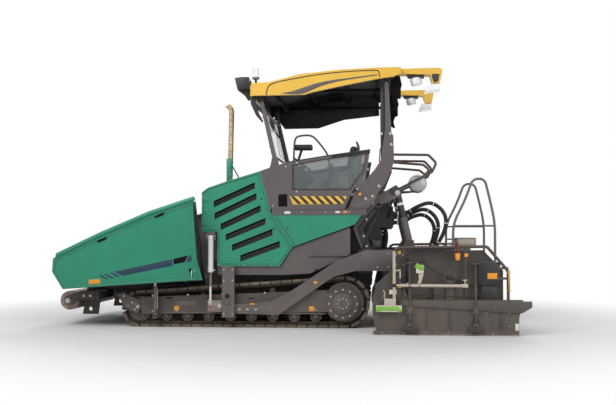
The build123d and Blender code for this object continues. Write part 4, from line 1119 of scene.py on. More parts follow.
def cab_slots(shape):
    # painted shade: near-black plates and discs where the cab's slots and holes are
    shape.plate([(-0.098, 1.965), (0.034, 1.972), (0.036, 1.786), (-0.098, 1.786)], (1.199, 1.201), 0)
    for x, z in ((1.215, 1.815), (1.385, 1.815)):
        shape.disc(x, z, (1.1505, 1.156), 0.022)
    shape.plate([(1.395, 2.62), (1.41, 2.62), (1.402, 2.44), (1.385, 2.44)], (1.15, 1.157), 0.0008)
    shape.plate([(1.02, 2.02), (1.055, 2.045), (1.075, 2.03), (1.045, 2.005)], (1.196, 1.2025), 0.0008)


def cab_folds(shape):
    # rolled edge of the front panel, gusset of the pillar's foot and lip of the deck
    shape.tube([(-0.215, 1.192, 1.76), (-0.33, 1.192, 2.15), (-0.368, 1.192, 2.312)], 0.01)
    for z in ((1.662, 1.674), (1.738, 1.75)):
        shape.block((-0.19, 1.115), (1.199, 1.208), z)
    shape.plate([(1.0, 1.752), (1.225, 1.752), (1.36, 1.93), (1.34, 1.945), (1.03, 1.8)], (1.152, 1.16))
    # lower step under the platform's edge
    shape.block((0.35, 0.92), (1.1, 1.2), (1.06, 1.068), 0.002)


def platform_mat(shape):
    for x in row(-0.02, 0.088, 13):
        for y in (-0.46, 0.46):
            shape.block((x, x + 0.03), about(y, 0.44) if 0.2 < x < 0.5 or x > 1.0 else about(y, 0.06),
                (1.7495, 1.7535), 0.001)


def desk_housing(shape):
    # two instrument pods, arm consoles and the binnacle's shroud
    for y in ((-0.5, -0.1), (0.1, 0.5)):
        shape.block((-0.02, 0.13), y, (2.395, 2.425), 0.008)
    shape.rod((0.12, -0.3, 2.38), (0.168, -0.3, 2.45), 0.036, 0.026, 24, 0.003)
    shape.section([(-0.13, 2.4), (0.13, 2.4), (0.1, 2.475), (-0.1, 2.475)], (-0.03, 0.05), 0.006)
    # raised instrument pod on its stalk
    shape.block((0.06, 0.35), (-0.48, -0.31), (2.695, 2.778), 0.022)
    shape.rod((0.09, -0.4, 2.42), (0.18, -0.4, 2.7), 0.02)
    shape.section([(0.2, 2.44), (0.46, 2.44), (0.45, 2.505), (0.21, 2.505)], (0.148, 0.16), 0.004)
    for side in (-1, 1):
        shape.block((0.6, 0.74), (side * 0.5, side * 0.4), (2.3, 2.36), 0.012)
        shape.rod((0.66, side * 0.45, 1.752), (0.66, side * 0.45, 2.3), 0.028)


def desk_rails(shape):
    shape.tube([(0.06, -0.505, 2.4), (0.067, -0.505, 2.6), (0.072, -0.505, 2.78), (0.095, -0.505, 2.89),
        (0.19, -0.505, 2.915), (0.335, -0.505, 2.918), (0.42, -0.505, 2.85), (0.6, -0.505, 2.62),
        (0.62, -0.505, 2.48), (0.62, -0.505, 2.1), (0.62, -0.505, 1.751)], 0.015)


def desk_screens(shape):
    shape.section([(0.215, 2.447), (0.445, 2.447), (0.438, 2.498), (0.222, 2.498)], (0.1602, 0.1625), 0.001)
    for y in (-0.44, -0.36, 0.16, 0.26):
        shape.rod((0.03, y, 2.424), (0.03, y, 2.4285), 0.03, sides=28, edge=0.001)


def desk_knobs(shape):
    for x in (0.085, 0.115):
        for y in row(0.13, 0.07, 5):
            shape.rod((x, y, 2.424), (x, y, 2.44), 0.011, 0.008, 16, 0.001)
    for side in (-1, 1):
        shape.tube([(0.645, side * 0.45, 2.355), (0.64, side * 0.45, 2.4), (0.648, side * 0.45, 2.44)], 0.007)
        shape.ball((0.648, side * 0.45, 2.455), 0.024, (1, 1, 1.5))


class PAVER_OT_cab(bpy.types.Operator):
    """Window rubbers, warning boards, pillar bolts, deck edges and the control desk's instruments"""

    bl_idname = "paver.cab"
    bl_label = "Cab"

    def execute(self, context):
        both(window_rubbers, "hose")
        both(warning_boards, "yellow")
        both(warning_stripes, "black", slot="paint_dark")
        both(cab_bolts, "zinc")
        both(cab_plates, "orange")
        both(cab_pale_plates, "white")
        both(cab_slots, "black_and_painted_shade")
        both(cab_folds, "grey")
        whole(platform_mat, "hose", slot="track_rubber")
        whole(desk_housing, "plastic")
        whole(desk_rails, "grey")
        whole(desk_screens, "screen")
        whole(desk_knobs, "grey_plastic")
        wheel = Shape()
        wheel.ring((0.186, -0.3, 2.478), (0.6, 0, 0.8), 0.165, 0.014, 48, 12)
        for turn in (0.5, 2.6, 4.7):
            reach = Vector((0.8 * math.cos(turn), math.sin(turn), -0.6 * math.cos(turn)))
            hub = Vector((0.18, -0.3, 2.47))
            wheel.rod(hub, hub + reach * 0.162, 0.011, sides=10)
        wheel.lathe((0.176, -0.3, 2.464), (0.6, 0, 0.8), [(0, 0.045), (0.018, 0.04), (0.026, 0.028)], 28)
        wheel.piece("steering_wheel", "plastic")
        return {"FINISHED"}


# ---- seats

SEAT_Y = 0.79
SEAT_ARMS = (SEAT_Y - 0.275, SEAT_Y + 0.225)
CLOTH_FRAMES = 20


def cushion_form(name, middle, half, puff):
    """A padded form blown up from a softened box, with channels sewn into its front."""
    shape = Shape()
    shape.block(*((-size + puff * 0.5, size - puff * 0.5) for size in half), 0.018)
    for _ in range(3):
        bmesh.ops.subdivide_edges(shape.mesh, edges=shape.mesh.edges, cuts=1, use_grid_fill=True)
    mesh = shape.data(name)
    thing = show(name, mesh)
    remesh = thing.modifiers.new("remesh", "REMESH")
    remesh.mode = "VOXEL"
    remesh.voxel_size = 0.008
    rest = applied(thing, name + "_rest")
    thing.modifiers.clear()
    thing.data = rest
    blow_up(thing, rest, puff * 0.8)
    crown = bmesh.new()
    crown.from_mesh(thing.data)
    thin = min(range(3), key=lambda axis: half[axis])
    wide = [axis for axis in range(3) if axis != thin]
    for vert in crown.verts:
        share = [min(1.0, abs(vert.co[axis]) / half[axis]) for axis in wide]
        bulge = (1 - share[0] ** 2) * (1 - share[1] ** 2)
        lift = math.copysign(puff * 0.55 * bulge, vert.co[thin])
        # sewn channels across the middle and a seam inside each edge
        seam = min(abs(abs(vert.co.y) - half[1] * 0.62), *(abs(vert.co[wide[0]] - half[wide[0]] * step)
            for step in (-0.5, 0.0, 0.5)))
        within = 1.0 if abs(vert.co.y) < half[1] * 0.64 and share[0] < 0.85 else 0.0
        groove = math.exp(-(seam / 0.006) ** 2) * 0.005 * within
        vert.co[thin] += lift - math.copysign(groove, vert.co[thin])
    crown.to_mesh(thing.data)
    crown.free()
    thing.modifiers.new("smooth", "SUBSURF").levels = 1
    final = applied(thing, name + "_final")
    bpy.data.objects.remove(thing)
    final.polygons.foreach_set("use_smooth", [True] * len(final.polygons))
    return final


def applied(thing, name):
    """The thing's mesh with its modifiers applied."""
    graph = bpy.context.evaluated_depsgraph_get()
    graph.update()
    mesh = bpy.data.meshes.new_from_object(thing.evaluated_get(graph))
    mesh.name = name
    return mesh


def blow_up(thing, rest, limit):
    """Cloth held by its own pressure, with each point's travel capped."""
    cloth = thing.modifiers.new("cloth", "CLOTH")
    cloth.settings.use_pressure = True
    cloth.settings.uniform_pressure_force = 4.0
    cloth.settings.effector_weights.gravity = 0.0
    cloth.settings.quality = 6
    cloth.point_cache.frame_start, cloth.point_cache.frame_end = 1, CLOTH_FRAMES
    for step in range(1, CLOTH_FRAMES + 1):
        bpy.context.scene.frame_set(step)
    blown = applied(thing, rest.name + "_blown")
    bpy.context.scene.frame_set(1)
    thing.modifiers.clear()
    starts = [vert.co.copy() for vert in rest.vertices]
    for vert, start in zip(blown.vertices, starts):
        travel = vert.co - start
        if travel.length > limit:
            vert.co = start + travel.normalized() * limit
    thing.data = blown


def place_cushion(form, name, place):
    mesh = form.copy()
    mesh.name = name
    mesh.transform(place)
    mesh.materials.clear()
    mesh.materials.append(FINISHES["cloth"])
    thing = show(name, mesh)
    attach(thing, "tractor")


def shell(shape):
    inner, outer = SEAT_Y - 0.235, SEAT_Y + 0.235
    shape.block((0.535, 0.97), (inner, outer), (2.084, 2.112), 0.01)
    shape.block((0.64, 0.88), about(SEAT_Y, 0.115), (2.04, 2.084), 0.006)
    shape.block((0.62, 0.9), about(SEAT_Y, 0.125), (1.7515, 1.79), 0.006)
    # back shell behind the cushion, with a headrest stalk
    shape.plate([(0.952, 2.13), (0.985, 2.11), (1.098, 2.7), (1.062, 2.772), (1.04, 2.765), (1.062, 2.69)],
        about(SEAT_Y, 0.205), 0.008)
    for arm in SEAT_ARMS:
        shape.plate([(0.905, 2.15), (0.955, 2.15), (0.955, 2.375), (0.905, 2.35)], (arm + 0.01, arm + 0.04), 0.006)


def seat_arms(shape):
    for arm in SEAT_ARMS:
        shape.block((0.606, 0.958), (arm + 0.002, arm + 0.048), (2.333, 2.388), 0.018)


def seat_bellows(shape):
    for z in row(1.792, 0.0275, 9):
        shape.block((0.655, 0.865), about(SEAT_Y, 0.095), (z, z + 0.026), 0.01)


class PAVER_OT_seats(bpy.types.Operator):
    """Two sprung seats with crowned, seamed cushions in place of the frame's plain ones"""

    bl_idname = "paver.seats"
    bl_label = "Seats"

    def execute(self, context):
        seat = cushion_form("seat_form", (0.0, 0.0, 0.0), (0.21, 0.205, 0.05), 0.022)
        back = cushion_form("back_form", (0.0, 0.0, 0.0), (0.05, 0.195, 0.25), 0.02)
        shells = Shape()
        for name, side in SIDES:
            place = Matrix.Translation((0.745, side * SEAT_Y, 2.158))
            place_cushion(seat, f"seat_cushion_{name}", place)
            lean = Matrix.Rotation(math.radians(9.5), 4, "Y")
            place_cushion(back, f"seat_back_{name}", Matrix.Translation((0.982, side * SEAT_Y, 2.47)) @ lean)
            shells.side = side
            shell(shells)
        bpy.data.meshes.remove(seat)
        bpy.data.meshes.remove(back)
        hard = shells.piece("seat_shells", "plastic")
        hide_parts("seats")
        both(seat_arms, "hose", slot="black_plastic")
        both(seat_bellows, "hose")
        return {"FINISHED"}


# ---- roof

def roof_plates(shape):
    shape.plate([(-0.065, 3.46), (0.112, 3.491), (0.21, 3.522), (0.32, 3.559), (0.46, 3.602), (0.611, 3.634),
        (0.77, 3.657), (0.941, 3.675), (1.16, 3.702), (1.369, 3.727), (1.369, 3.709), (1.16, 3.681), (0.941, 3.651),
        (0.79, 3.626), (0.652, 3.592), (0.54, 3.561), (0.445, 3.522), (0.355, 3.482), (0.279, 3.456), (0.227, 3.446),
        (0.08, 3.446)], (ROOF_HALF - 0.002, ROOF_HALF + 0.003), 0.0008)


def roof_lines(shape):
    points = [(-0.278, 3.439), (-0.265, 3.52), (-0.219, 3.609), (0.1, 3.672), (0.523, 3.74), (0.95, 3.775),
        (1.361, 3.787), (1.39, 3.77), (1.405, 3.683)]
    shape.tube([(x, ROOF_HALF, z) for x, z in points], 0.0075)


def roof_ribs(shape):
    # pressed ribs across the roof's top
    for x, z in ((-0.1, 3.668), (0.25, 3.75), (0.6, 3.784), (0.95, 3.8095), (1.3, 3.8225)):
        slope = Vector((0.35, 0, 0.09 if x < 0.3 else 0.03)).normalized()
        base = shape.spot(x, 0.0, z - 0.004)
        across = Vector((0, shape.side * 1.16, 0))
        shape.grow([base, base + slope * 0.09, base + slope * 0.09 + across, base + across], Vector((0, 0, 0.01)),
            0.004)


def roof_underside(shape):
    # cross beams, a speaker and cable ducts in the hollow, near-black as painted shade
    for x, z in ((-0.2, 3.5), (0.3, 3.63), (0.85, 3.7), (1.35, 3.74)):
        shape.block((x, x + 0.05), (0.0, 1.188), about(z, 0.03), 0.004)
    shape.block((-0.3, 1.55), (0.92, 0.98), (3.52, 3.56), 0.006)
    shape.block((0.55, 0.78), (0.62, 0.84), (3.6, 3.69), 0.012)
    # brackets and wiring behind the rear post, near-black as painted shade
    shape.plate([(1.56, 3.685), (1.7, 3.735), (1.73, 3.6), (1.69, 3.46), (1.64, 3.3), (1.668, 3.2), (1.64, 3.2),
        (1.565, 3.245), (1.575, 3.42)], (0.985, 1.05), 0.006)
    shape.block((1.575, 1.715), (0.94, 1.06), (3.4, 3.56), 0.014)
    shape.tube([(1.6, 1.055, 3.27), (1.63, 1.07, 3.36), (1.7, 1.06, 3.44), (1.66, 1.05, 3.58)], 0.012)


def roof_lenses(shape):
    shape.plate([(2.066, 3.484), (2.276, 3.511), (2.27, 3.575), (2.12, 3.575)], (1.104, 1.11), 0.004)
    shape.block((-0.706, -0.699), (0.91, 1.08), (3.58, 3.715), 0.004)
    shape.turned((1.93, 1.01, 3.7), (0.25, 0, -1), [(0, 0.0005), (0, 0.075), (0.02, 0.085), (0.09, 0.085),
        (0.11, 0.07), (0.115, 0.0005)])


def roof_lamp_housings(shape):
    # bank of lamps and mirror bracket at each front corner
    shape.plate([(-0.79, 3.745), (-0.69, 3.76), (-0.54, 3.7), (-0.515, 3.56), (-0.545, 3.43), (-0.585, 3.4),
        (-0.64, 3.48), (-0.745, 3.56)], (0.895, 1.0), 0.01)
    shape.block((-0.71, -0.556), (0.893, 1.097), (3.553, 3.742), 0.014)
    shape.plate([(-0.53, 3.455), (-0.52, 3.32), (-0.44, 3.15), (-0.345, 3.04), (-0.33, 3.06), (-0.395, 3.18),
        (-0.44, 3.33), (-0.455, 3.455)], (1.134, 1.156), 0.004)
    shape.plate([(1.8, 3.742), (2.06, 3.742), (2.06, 3.7), (1.83, 3.7)], (0.94, 1.08), 0.004)


def roof_horn_plates(shape):
    shape.plate([(2.17, 3.742), (2.28, 3.742), (2.262, 3.63), (2.195, 3.612), (2.165, 3.7)], (1.118, 1.1225), 0.0008)


def beacon_base(shape):
    shape.lathe((-0.461, -1.02, 3.628), UP, [(0, 0.045), (0.01, 0.045), (0.02, 0.02), (0.08, 0.018), (0.088, 0.052),
        (0.1, 0.0568), (0.112, 0.0568)])


def roof_pins(shape):
    for x, z in ((1.52, 2.78), (1.5, 3.64)):
        shape.turned((x, 1.1248, z), OUT, [(0, 0.0005), (0, 0.03), (0.004, 0.03), (0.0045, 0.0005)], 24)


def post_strips(shape):
    # rubber strip and cable duct along the front of the rear post
    shape.plate([(1.412, 3.62), (1.462, 3.62), (1.462, 2.98), (1.474, 2.62), (1.44, 2.5), (1.42, 2.6)],
        (1.045, 1.098), 0.006)


def roof_front_pins(shape):
    shape.lathe((-0.165, 1.1268, 2.49), OUT, [(0, 0.026), (0.004, 0.026)], 24)


def windscreen_frame(shape):
    ends = ((-0.21, 2.58), (-0.37, 3.27))
    shape.plate([(-0.219, 2.578), (-0.201, 2.578), (-0.361, 3.272), (-0.379, 3.272)], (1.018, 1.046), 0.003)
    for x, z in ends:
        shape.block(about(x, 0.01), (0.0, 1.046), about(z, 0.012), 0.004)
    for x, z in ((-0.238, 2.7), (-0.34, 3.14)):
        shape.block(about(x, 0.012), (1.04, 1.072), about(z, 0.02))


class PAVER_OT_roof(bpy.types.Operator):
    """Side plates, ribs, lamps, beacon and post brackets of the roof, and the windscreen's frame"""

    bl_idname = "paver.roof"
    bl_label = "Roof"

    def execute(self, context):
        both(roof_plates, "grey", "roof")
        both(roof_lines, "black", "roof", "paint_dark")
        both(roof_ribs, "yellow", "roof")
        both(roof_underside, "black_and_painted_shade", "roof")
        both(roof_lenses, "lamp", "roof")
        both(roof_lamp_housings, "black", "roof")
        both(roof_horn_plates, "chassis", "roof")
        whole(beacon_base, "plastic", "roof")
        lens = Shape()
        lens.turned((-0.461, -1.02, 3.741), UP, [(0, 0.0005), (0, 0.05), (0.05, 0.049), (0.095, 0.034),
            (0.112, 0.0005)], 28)
        lens.piece("beacon_cover", "tank", "roof")
        both(post_strips, "black", "roof_rear_posts")
        curtain = Shape()
        curtain.plate([(-0.44, 3.47), (-0.253, 3.215), (0.341, 3.222), (0.784, 3.365), (1.397, 3.432), (1.392, 3.69),
            (0.818, 3.59), (0.397, 3.505), (0.286, 3.47)], (1.158, 1.172), 0.004)
        curtain.piece("roof_curtain", "cloth", "roof")
        both(roof_pins, "zinc", "roof_rear_posts")
        both(roof_front_pins, "zinc", "roof_front_posts")
        both(windscreen_frame, "black", "roof_front_posts")
        wipers = Shape()
        for y in (-0.55, 0.5):
            wipers.tube([(-0.252, y, 2.66), (-0.275, y + 0.06, 2.72), (-0.325, y + 0.22, 2.92),
                (-0.345, y + 0.28, 3.01)], 0.007)
            wipers.rod((-0.298, y + 0.1, 2.83), (-0.375, y + 0.32, 3.16), 0.006, sides=8)
        wipers.piece("wipers", "plastic", "roof_front_posts")
        return {"FINISHED"}


# ---- towing gear

LIFT_TOP = (1.661, 1.993)
LIFT_EYE = (1.836, 1.248)
LIFT_Y = 0.95


def levelling_barrels(shape):
    shape.turned((-1.09, 1.29, 0.818), UP, [(0.0, 0.0225), (0.0, 0.038), (0.012, 0.045), (0.045, 0.045),
        (0.052, 0.0395), (0.48, 0.0395), (0.488, 0.045), (0.53, 0.045), (0.543, 0.04), (0.543, 0.0225)], 40)


def guide_plates(shape):
    # cap plates of the guide, the loop below its hole and the cylinder's mounting ears
    for z in ((0.88, 0.908), (0.16, 0.178)):
        shape.block((-0.925, -0.725), (1.262, 1.32), z)
    shape.tube([(-0.885, 1.317, 0.44), (-0.885, 1.322, 0.372), (-0.842, 1.324, 0.352), (-0.8, 1.322, 0.372),
        (-0.8, 1.317, 0.44)], 0.009)
    shape.turned((-0.84, 1.3155, 0.47), OUT, [(0, 0.038), (0, 0.052), (0.006, 0.05), (0.006, 0.038)], 36)
    for x in (-1.145, -1.048):
        shape.block((x, x + 0.013), (1.258, 1.322), (1.3, 1.385), 0.002)


def guide_bolts(shape):
    shape.bolts([(-0.89, 0.86), (-0.76, 0.86), (-0.89, 0.7), (-0.76, 0.7), (-0.89, 0.21), (-0.76, 0.21)], 1.3165,
        0.01)
    shape.rod((-1.16, 1.29, 1.345), (-1.02, 1.29, 1.345), 0.014)
    shape.lathe((-0.968, 1.316, 0.335), OUT, [(0, 0.01), (0.002, 0.01)], 12)
    # hydraulic fittings and the short pipes of the levelling cylinder
    for z in (0.85, 1.31):
        shape.rod((-1.048, 1.29, z), (-1.02, 1.29, z), 0.011, sides=6)


def tow_pin_caps(shape):
    shape.lathe((-0.954, 1.3178, 0.325), OUT, [(0, 0.03), (0.004, 0.03), (0.004, 0.012), (0.01, 0.012)], 28)
    shape.block((-1.118, -1.062), (1.3, 1.312), (0.33, 0.4))


def levelling_rods(shape):
    shape.turned((-1.09, 1.29, 0.408), UP, [(0, 0.0198), (0, 0.032), (0.02, 0.032), (0.026, 0.02), (0.2, 0.02),
        (0.2, 0.0198)])


def tow_arm_bolts(shape):
    shape.bolts([(-0.666, 0.272), (-0.546, 0.273), (-0.423, 0.274)], 1.2565, 0.014)
    shape.bolts([(1.36, 0.9), (1.52, 0.9), (1.52, 1.1)], 1.2565, 0.013)
    shape.turned((-0.954, 1.257, 0.325), OUT, [(0, 0.0275), (0, 0.044), (0.004, 0.042), (0.004, 0.0275)])


def tow_arm_seams(shape):
    # welded doubler at the screed end and a rib along the bend
    shape.plate([(1.14, 1.128), (1.585, 1.14), (1.585, 0.862), (1.1, 0.862)], (1.2555, 1.26))
    shape.plate([(-0.58, 0.298), (-0.22, 0.325), (-0.12, 0.23), (-0.58, 0.238)], (1.2555, 1.2585), 0.001)


def tow_arm_plates(shape):
    shape.block((-0.513, -0.439), (1.2555, 1.2592), (0.364, 0.344), 0.0005)
    shape.block((0.43, 0.482), (1.2555, 1.2575), (0.655, 0.69), 0.0005)


def lift_run(distance):
    """Place at a distance down the lift cylinder from its upper pin, with its direction."""
    run = Vector((LIFT_EYE[0] - LIFT_TOP[0], 0, LIFT_EYE[1] - LIFT_TOP[1])).normalized()
    return (LIFT_TOP[0] + run.x * distance, LIFT_Y, LIFT_TOP[1] + run.z * distance), run


def lift_cylinder_bands(shape):
    place, run = lift_run(0.15)
    shape.collar(place, run, 0.0475, 0.0488, 0.04, 36)


def lift_cylinder_glands(shape):
    place, run = lift_run(0.06)
    shape.collar(place, run, 0.047, 0.0488, 0.03, 36)


def lift_cylinder_pins(shape):
    shape.turned((LIFT_TOP[0], 1.0195, LIFT_TOP[1]), OUT, [(0, 0.0005), (0, 0.038), (0.006, 0.038), (0.006, 0.014),
        (0.014, 0.014), (0.014, 0.0005)], 28)


class PAVER_OT_towing(bpy.types.Operator):
    """Tow guides, levelling cylinders, tow arm bolts and lift cylinder fittings"""

    bl_idname = "paver.towing"
    bl_label = "Towing"

    def execute(self, context):
        both(levelling_barrels, "white", slot="paint_grey")
        both(guide_plates, "grey")
        both(guide_bolts, "zinc")
        both(tow_pin_caps, "zinc", "tow_points")
        both(levelling_rods, "chrome", "tow_points")
        both(tow_arm_bolts, "zinc", "screed")
        both(tow_arm_seams, "grey", "screed")
        both(tow_arm_plates, "orange", "screed")
        both(lift_cylinder_bands, "white", "lift_barrels")
        both(lift_cylinder_glands, "black", "lift_barrels", "paint_dark")
        both(lift_cylinder_pins, "zinc")
        return {"FINISHED"}


# ---- rear of the tractor

PIPE_ROWS = (-0.635, -0.565, -0.46, -0.36, -0.24, -0.16, -0.08, 0.06, 0.14, 0.22, 0.4, 0.5, 0.6)
LOOP_ROWS = (-0.62, -0.52, -0.44, -0.2, -0.05, 0.25, 0.4, 0.58)


def valve_bodies(shape):
    # section valves with their solenoids on the low and on the high blocks
    for low, high, face, base, top in ((-0.67, -0.33, 1.405, 1.18, 1.46), (-0.28, -0.04, 1.405, 1.18, 1.48),
            (0.02, 0.3, 1.405, 1.18, 1.44), (0.35, 0.66, 1.405, 1.18, 1.44), (-0.33, 0.11, 1.555, 1.52, 1.74),
            (0.14, 0.68, 1.585, 1.48, 1.76)):
        count = max(2, round((high - low) / 0.085))
        for index in range(count):
            y = low + (index + 0.5) * (high - low) / count
            shape.block((face, face + 0.027), about(y, 0.032), (base, top - 0.02), 0.004)
            if base > 1.3:
                shape.rod((face - 0.05, y, top), (face - 0.05, y, top + 0.08), 0.019, sides=16, edge=0.003)
    # rings that the heating hoses are screwed to
    for y, z in ((-0.6, 1.69), (-0.5, 1.64), (-0.405, 1.56)):
        shape.lathe((1.598, y, z), AFT, [(0, 0.042), (0.02, 0.042), (0.024, 0.036)], 28)
    for x, z in ((1.3, 1.8), (1.42, 1.8), (1.53, 1.8)):
        shape.rod((x, -0.56, z - 0.002), (x, -0.56, z + 0.055), 0.026, 0.022, 20, 0.004)
        shape.block(about(x, 0.035), (-0.46, -0.38), (z - 0.004, z + 0.028), 0.005)
    shape.lathe((1.3, -0.86, 1.22), AFT, [(0, 0.075), (0.02, 0.082), (0.1, 0.082), (0.115, 0.06)])
    shape.block((1.282, 1.33), (-0.93, -0.79), (1.14, 1.3), 0.006)


def hydraulic_pipes(shape):
    for index, y in enumerate(PIPE_ROWS):
        sway = (index % 3 - 1) * 0.03
        top = 1.43 - (index % 4) * 0.055
        shape.tube([(1.428, y, top), (1.478, y, top), (1.5, y + sway, top - 0.1), (1.494, y + sway, 1.2),
            (1.45, y + 2 * sway, 1.11), (1.385, y + 2 * sway, 1.075), (1.36, y + 2 * sway, 1.05)], 0.0135)
    # short loops between the high blocks and the tractor's rear wall
    for y in LOOP_ROWS:
        shape.tube([(1.4, y, 1.79), (1.4, y, 1.86), (1.33, y + 0.02, 1.9), (1.24, y + 0.02, 1.86),
            (1.21, y + 0.03, 1.7)], 0.012)
    # loops that hang from the high blocks to the low ones
    for index, y in enumerate((-0.66, -0.6, -0.55, -0.49, -0.43, -0.36, -0.28, -0.18, -0.05, 0.12, 0.28, 0.45, 0.58)):
        sway = (index % 3 - 1) * 0.035
        reach = 1.5 - (index % 4) * 0.024
        shape.tube([(reach - 0.03, y, 1.53), (reach, y, 1.46), (reach + 0.015, y + sway, 1.32),
            (reach - 0.01, y + sway, 1.18), (1.43, y + 2 * sway, 1.085), (1.3, y + 2 * sway, 1.07)], 0.0165)
    # bundles up to the lift cylinders
    for side in (-1, 1):
        for offset in (0.0, 0.03):
            shape.tube([(1.5, side * 0.66, 1.62 + offset), (1.54, side * 0.73, 1.64 + offset),
                (1.56, side * 0.8, 1.76), (1.575, side * 0.852, 1.85), (1.59, side * 0.858, 1.9)], 0.011)
        shape.tube([(1.335, side * 1.03, 1.77), (1.4, side * 1.045, 1.72), (1.3, side * 1.05, 1.55),
            (1.22, side * 1.04, 1.4), (1.15, side * 1.03, 1.16)], 0.014)


def hydraulic_fittings(shape):
    for index, y in enumerate(PIPE_ROWS):
        top = 1.43 - (index % 4) * 0.055
        shape.rod((1.424, y, top), (1.452, y, top), 0.019, sides=6)
    for y in LOOP_ROWS:
        shape.rod((1.4, y, 1.755), (1.4, y, 1.812), 0.017, sides=6)


def rear_brackets(shape):
    shape.plate([(1.14, 1.16), (1.27, 1.16), (1.13, 1.46), (1.39, 1.8), (1.36, 1.84), (1.06, 1.47)], (1.0195, 1.026),
        0.003)
    shape.plate([(1.56, 1.965), (1.64, 1.955), (1.715, 1.955), (1.716, 2.035), (1.64, 2.098), (1.54, 2.04)],
        (1.0195, 1.024), 0.003)
    shape.section([(0.35, 1.0), (0.78, 1.0), (0.78, 0.93), (0.55, 0.9), (0.35, 0.93)], (1.281, 1.293))


def rear_bolts(shape):
    shape.bolts([(1.685, 1.985), (1.3, 1.84), (1.2, 1.6), (1.16, 1.35), (1.2, 1.2)], 1.025)
    for x, z in ((1.492, 2.262), (1.478, 1.962)):
        shape.lathe((x - 0.02, 0.6, z), AFT, [(0, 0.032), (0.012, 0.032)], 20)


def rear_reflectors(shape):
    shape.block((1.2895, 1.296), (0.7, 0.765), (1.07, 1.13), 0.004)


class PAVER_OT_rear(bpy.types.Operator):
    """Pipes, valves, tank and brackets at the rear of the tractor"""

    bl_idname = "paver.rear"
    bl_label = "Rear"

    def execute(self, context):
        whole(valve_bodies, "iron")
        whole(hydraulic_pipes, "hose")
        whole(hydraulic_fittings, "zinc", slot="bright_steel")
        tank = Shape(-1)
        tank.lathe((1.985, 0.15, 2.163), OUT, [(0, 0.098), (0.018, 0.128), (0.05, 0.136), (0.25, 0.136),
            (0.282, 0.128), (0.3, 0.098)], 48)
        tank.piece("spray_tank", "tank", slot="aluminium")
        bands = Shape(-1)
        for y in (0.205, 0.375):
            bands.collar((1.985, y, 2.163), OUT, 0.135, 0.14, 0.022, 48)
        bands.section([(0.205, 2.05), (0.4, 2.05), (0.4, 2.03), (0.205, 2.03)], (1.3, 2.02), 0.003)
        bands.plate([(1.29, 1.6), (1.33, 1.6), (1.6, 2.0), (2.02, 2.035), (2.02, 2.06), (1.57, 2.04), (1.29, 1.7)],
            (0.285, 0.3))
        bands.piece("tank_bracket", "dark")
        both(rear_brackets, "chassis")
        both(rear_bolts, "zinc")
        both(rear_reflectors, "amber")
        return {"FINISHED"}


# ---- augers

AUGER = (1.465, 0.42)


def flight(shape, side):
    """A helical blade: its section swept round the shaft and along it."""
    pitch, thick, steps = 0.42, 0.016, 96
    low, high = 0.158, 1.15
    turns = (high - low - thick) / pitch
    corners = [shape.mesh.verts.new(shape.spot(AUGER[0] + radius, y, AUGER[1])) for radius,
        y in ((0.055, low), (0.196, low), (0.2, low + 0.004), (0.2, low + thick - 0.004), (0.196, low + thick),
        (0.055, low + thick))]
    lines = [shape.mesh.edges.new(pair) for pair in zip(corners, corners[1:] + corners[:1])]
    cap = shape.mesh.faces.new(corners)
    total = round(steps * turns)
    bmesh.ops.spin(shape.mesh, geom=corners + lines + [cap], cent=(AUGER[0], 0, AUGER[1]), axis=OUT,
        dvec=(0, side * (high - low - thick) / total, 0), angle=math.tau * turns, space=Matrix.Identity(4),
        steps=total, use_merge=False, use_normal_flip=False, use_duplicate=False)


class PAVER_OT_augers(bpy.types.Operator):
    """Helical auger flights on their shafts, and the casing of their drive"""

    bl_idname = "paver.augers"
    bl_label = "Augers"

    def execute(self, context):
        for name, side in SIDES:
            shaft = Shape(side)
            shaft.turned((AUGER[0], 0.1285, AUGER[1]), OUT, [(0.0, 0.03), (0.0, 0.07), (0.03, 0.07), (0.036, 0.0618),
                (1.02, 0.0618), (1.026, 0.07), (1.056, 0.07), (1.061, 0.06), (1.061, 0.0005), (0.075, 0.0005),
                (0.075, 0.03)], 40)
            flight(shaft, side)
            for y in (0.3, 0.62, 0.94):
                for turn in range(4):
                    angle = math.tau * turn / 4 + y * 5
                    shaft.rod((AUGER[0] + 0.06 * math.cos(angle), y, AUGER[1] + 0.06 * math.sin(angle)),
                        (AUGER[0] + 0.072 * math.cos(angle), y, AUGER[1] + 0.072 * math.sin(angle)), 0.011, sides=6)
            piece = shaft.piece(f"auger_flight_{name}", "steel", f"auger_{name}")
            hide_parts(f"auger_{name}")
        casing = Shape()
        for x in (1.3435, 1.5575):
            casing.block((x, x + 0.005), (-0.1, 0.1), (0.32, 0.62))
        for side in (-1, 1):
            casing.lathe((1.465, side * 0.117, 0.42), (0, side, 0), [(0, 0.105), (0.008, 0.105), (0.01, 0.032)], 36)
        for x in (1.339, 1.562):
            for y in (-0.085, 0.085):
                for z in (0.335, 0.47, 0.605):
                    casing.rod((x, y, z), (x + 0.006, y, z), 0.011, sides=6)
        casing.piece("auger_drive_casing", "iron", slot="paint_dark")
        return {"FINISHED"}


# ---- screed

SPINDLE_Y = 2.012
SENSOR_Y = 2.044


def screed_folds(shape):
    # smoothing plate's edge, heating boxes on the screed and folded ribs
    shape.block((1.742, 2.088), (0.02, 1.248), (0.378, 0.392), 0.004)
    for y in (0.24, 0.92):
        shape.block((1.83, 2.04), (y, y + 0.24), (0.39, 0.455), 0.008)
    shape.section([(1.2, 1.15), (1.246, 1.15), (1.246, 0.4), (1.2, 0.4)], (1.7645, 1.771))
    for x in (1.605, 1.735):
        shape.plate([(x, 0.4), (x + 0.014, 0.4), (x + 0.014, 1.14), (x, 1.14)], (1.2495, 1.262))
    for y in (0.45, 0.6):
        shape.block((1.65, 1.79), (y, y + 0.012), (0.8, 0.85), 0.002)
    for y in (1.03, 0.86):
        shape.block((1.79, 1.9), (y, y + 0.01), (0.99, 1.05), 0.002)


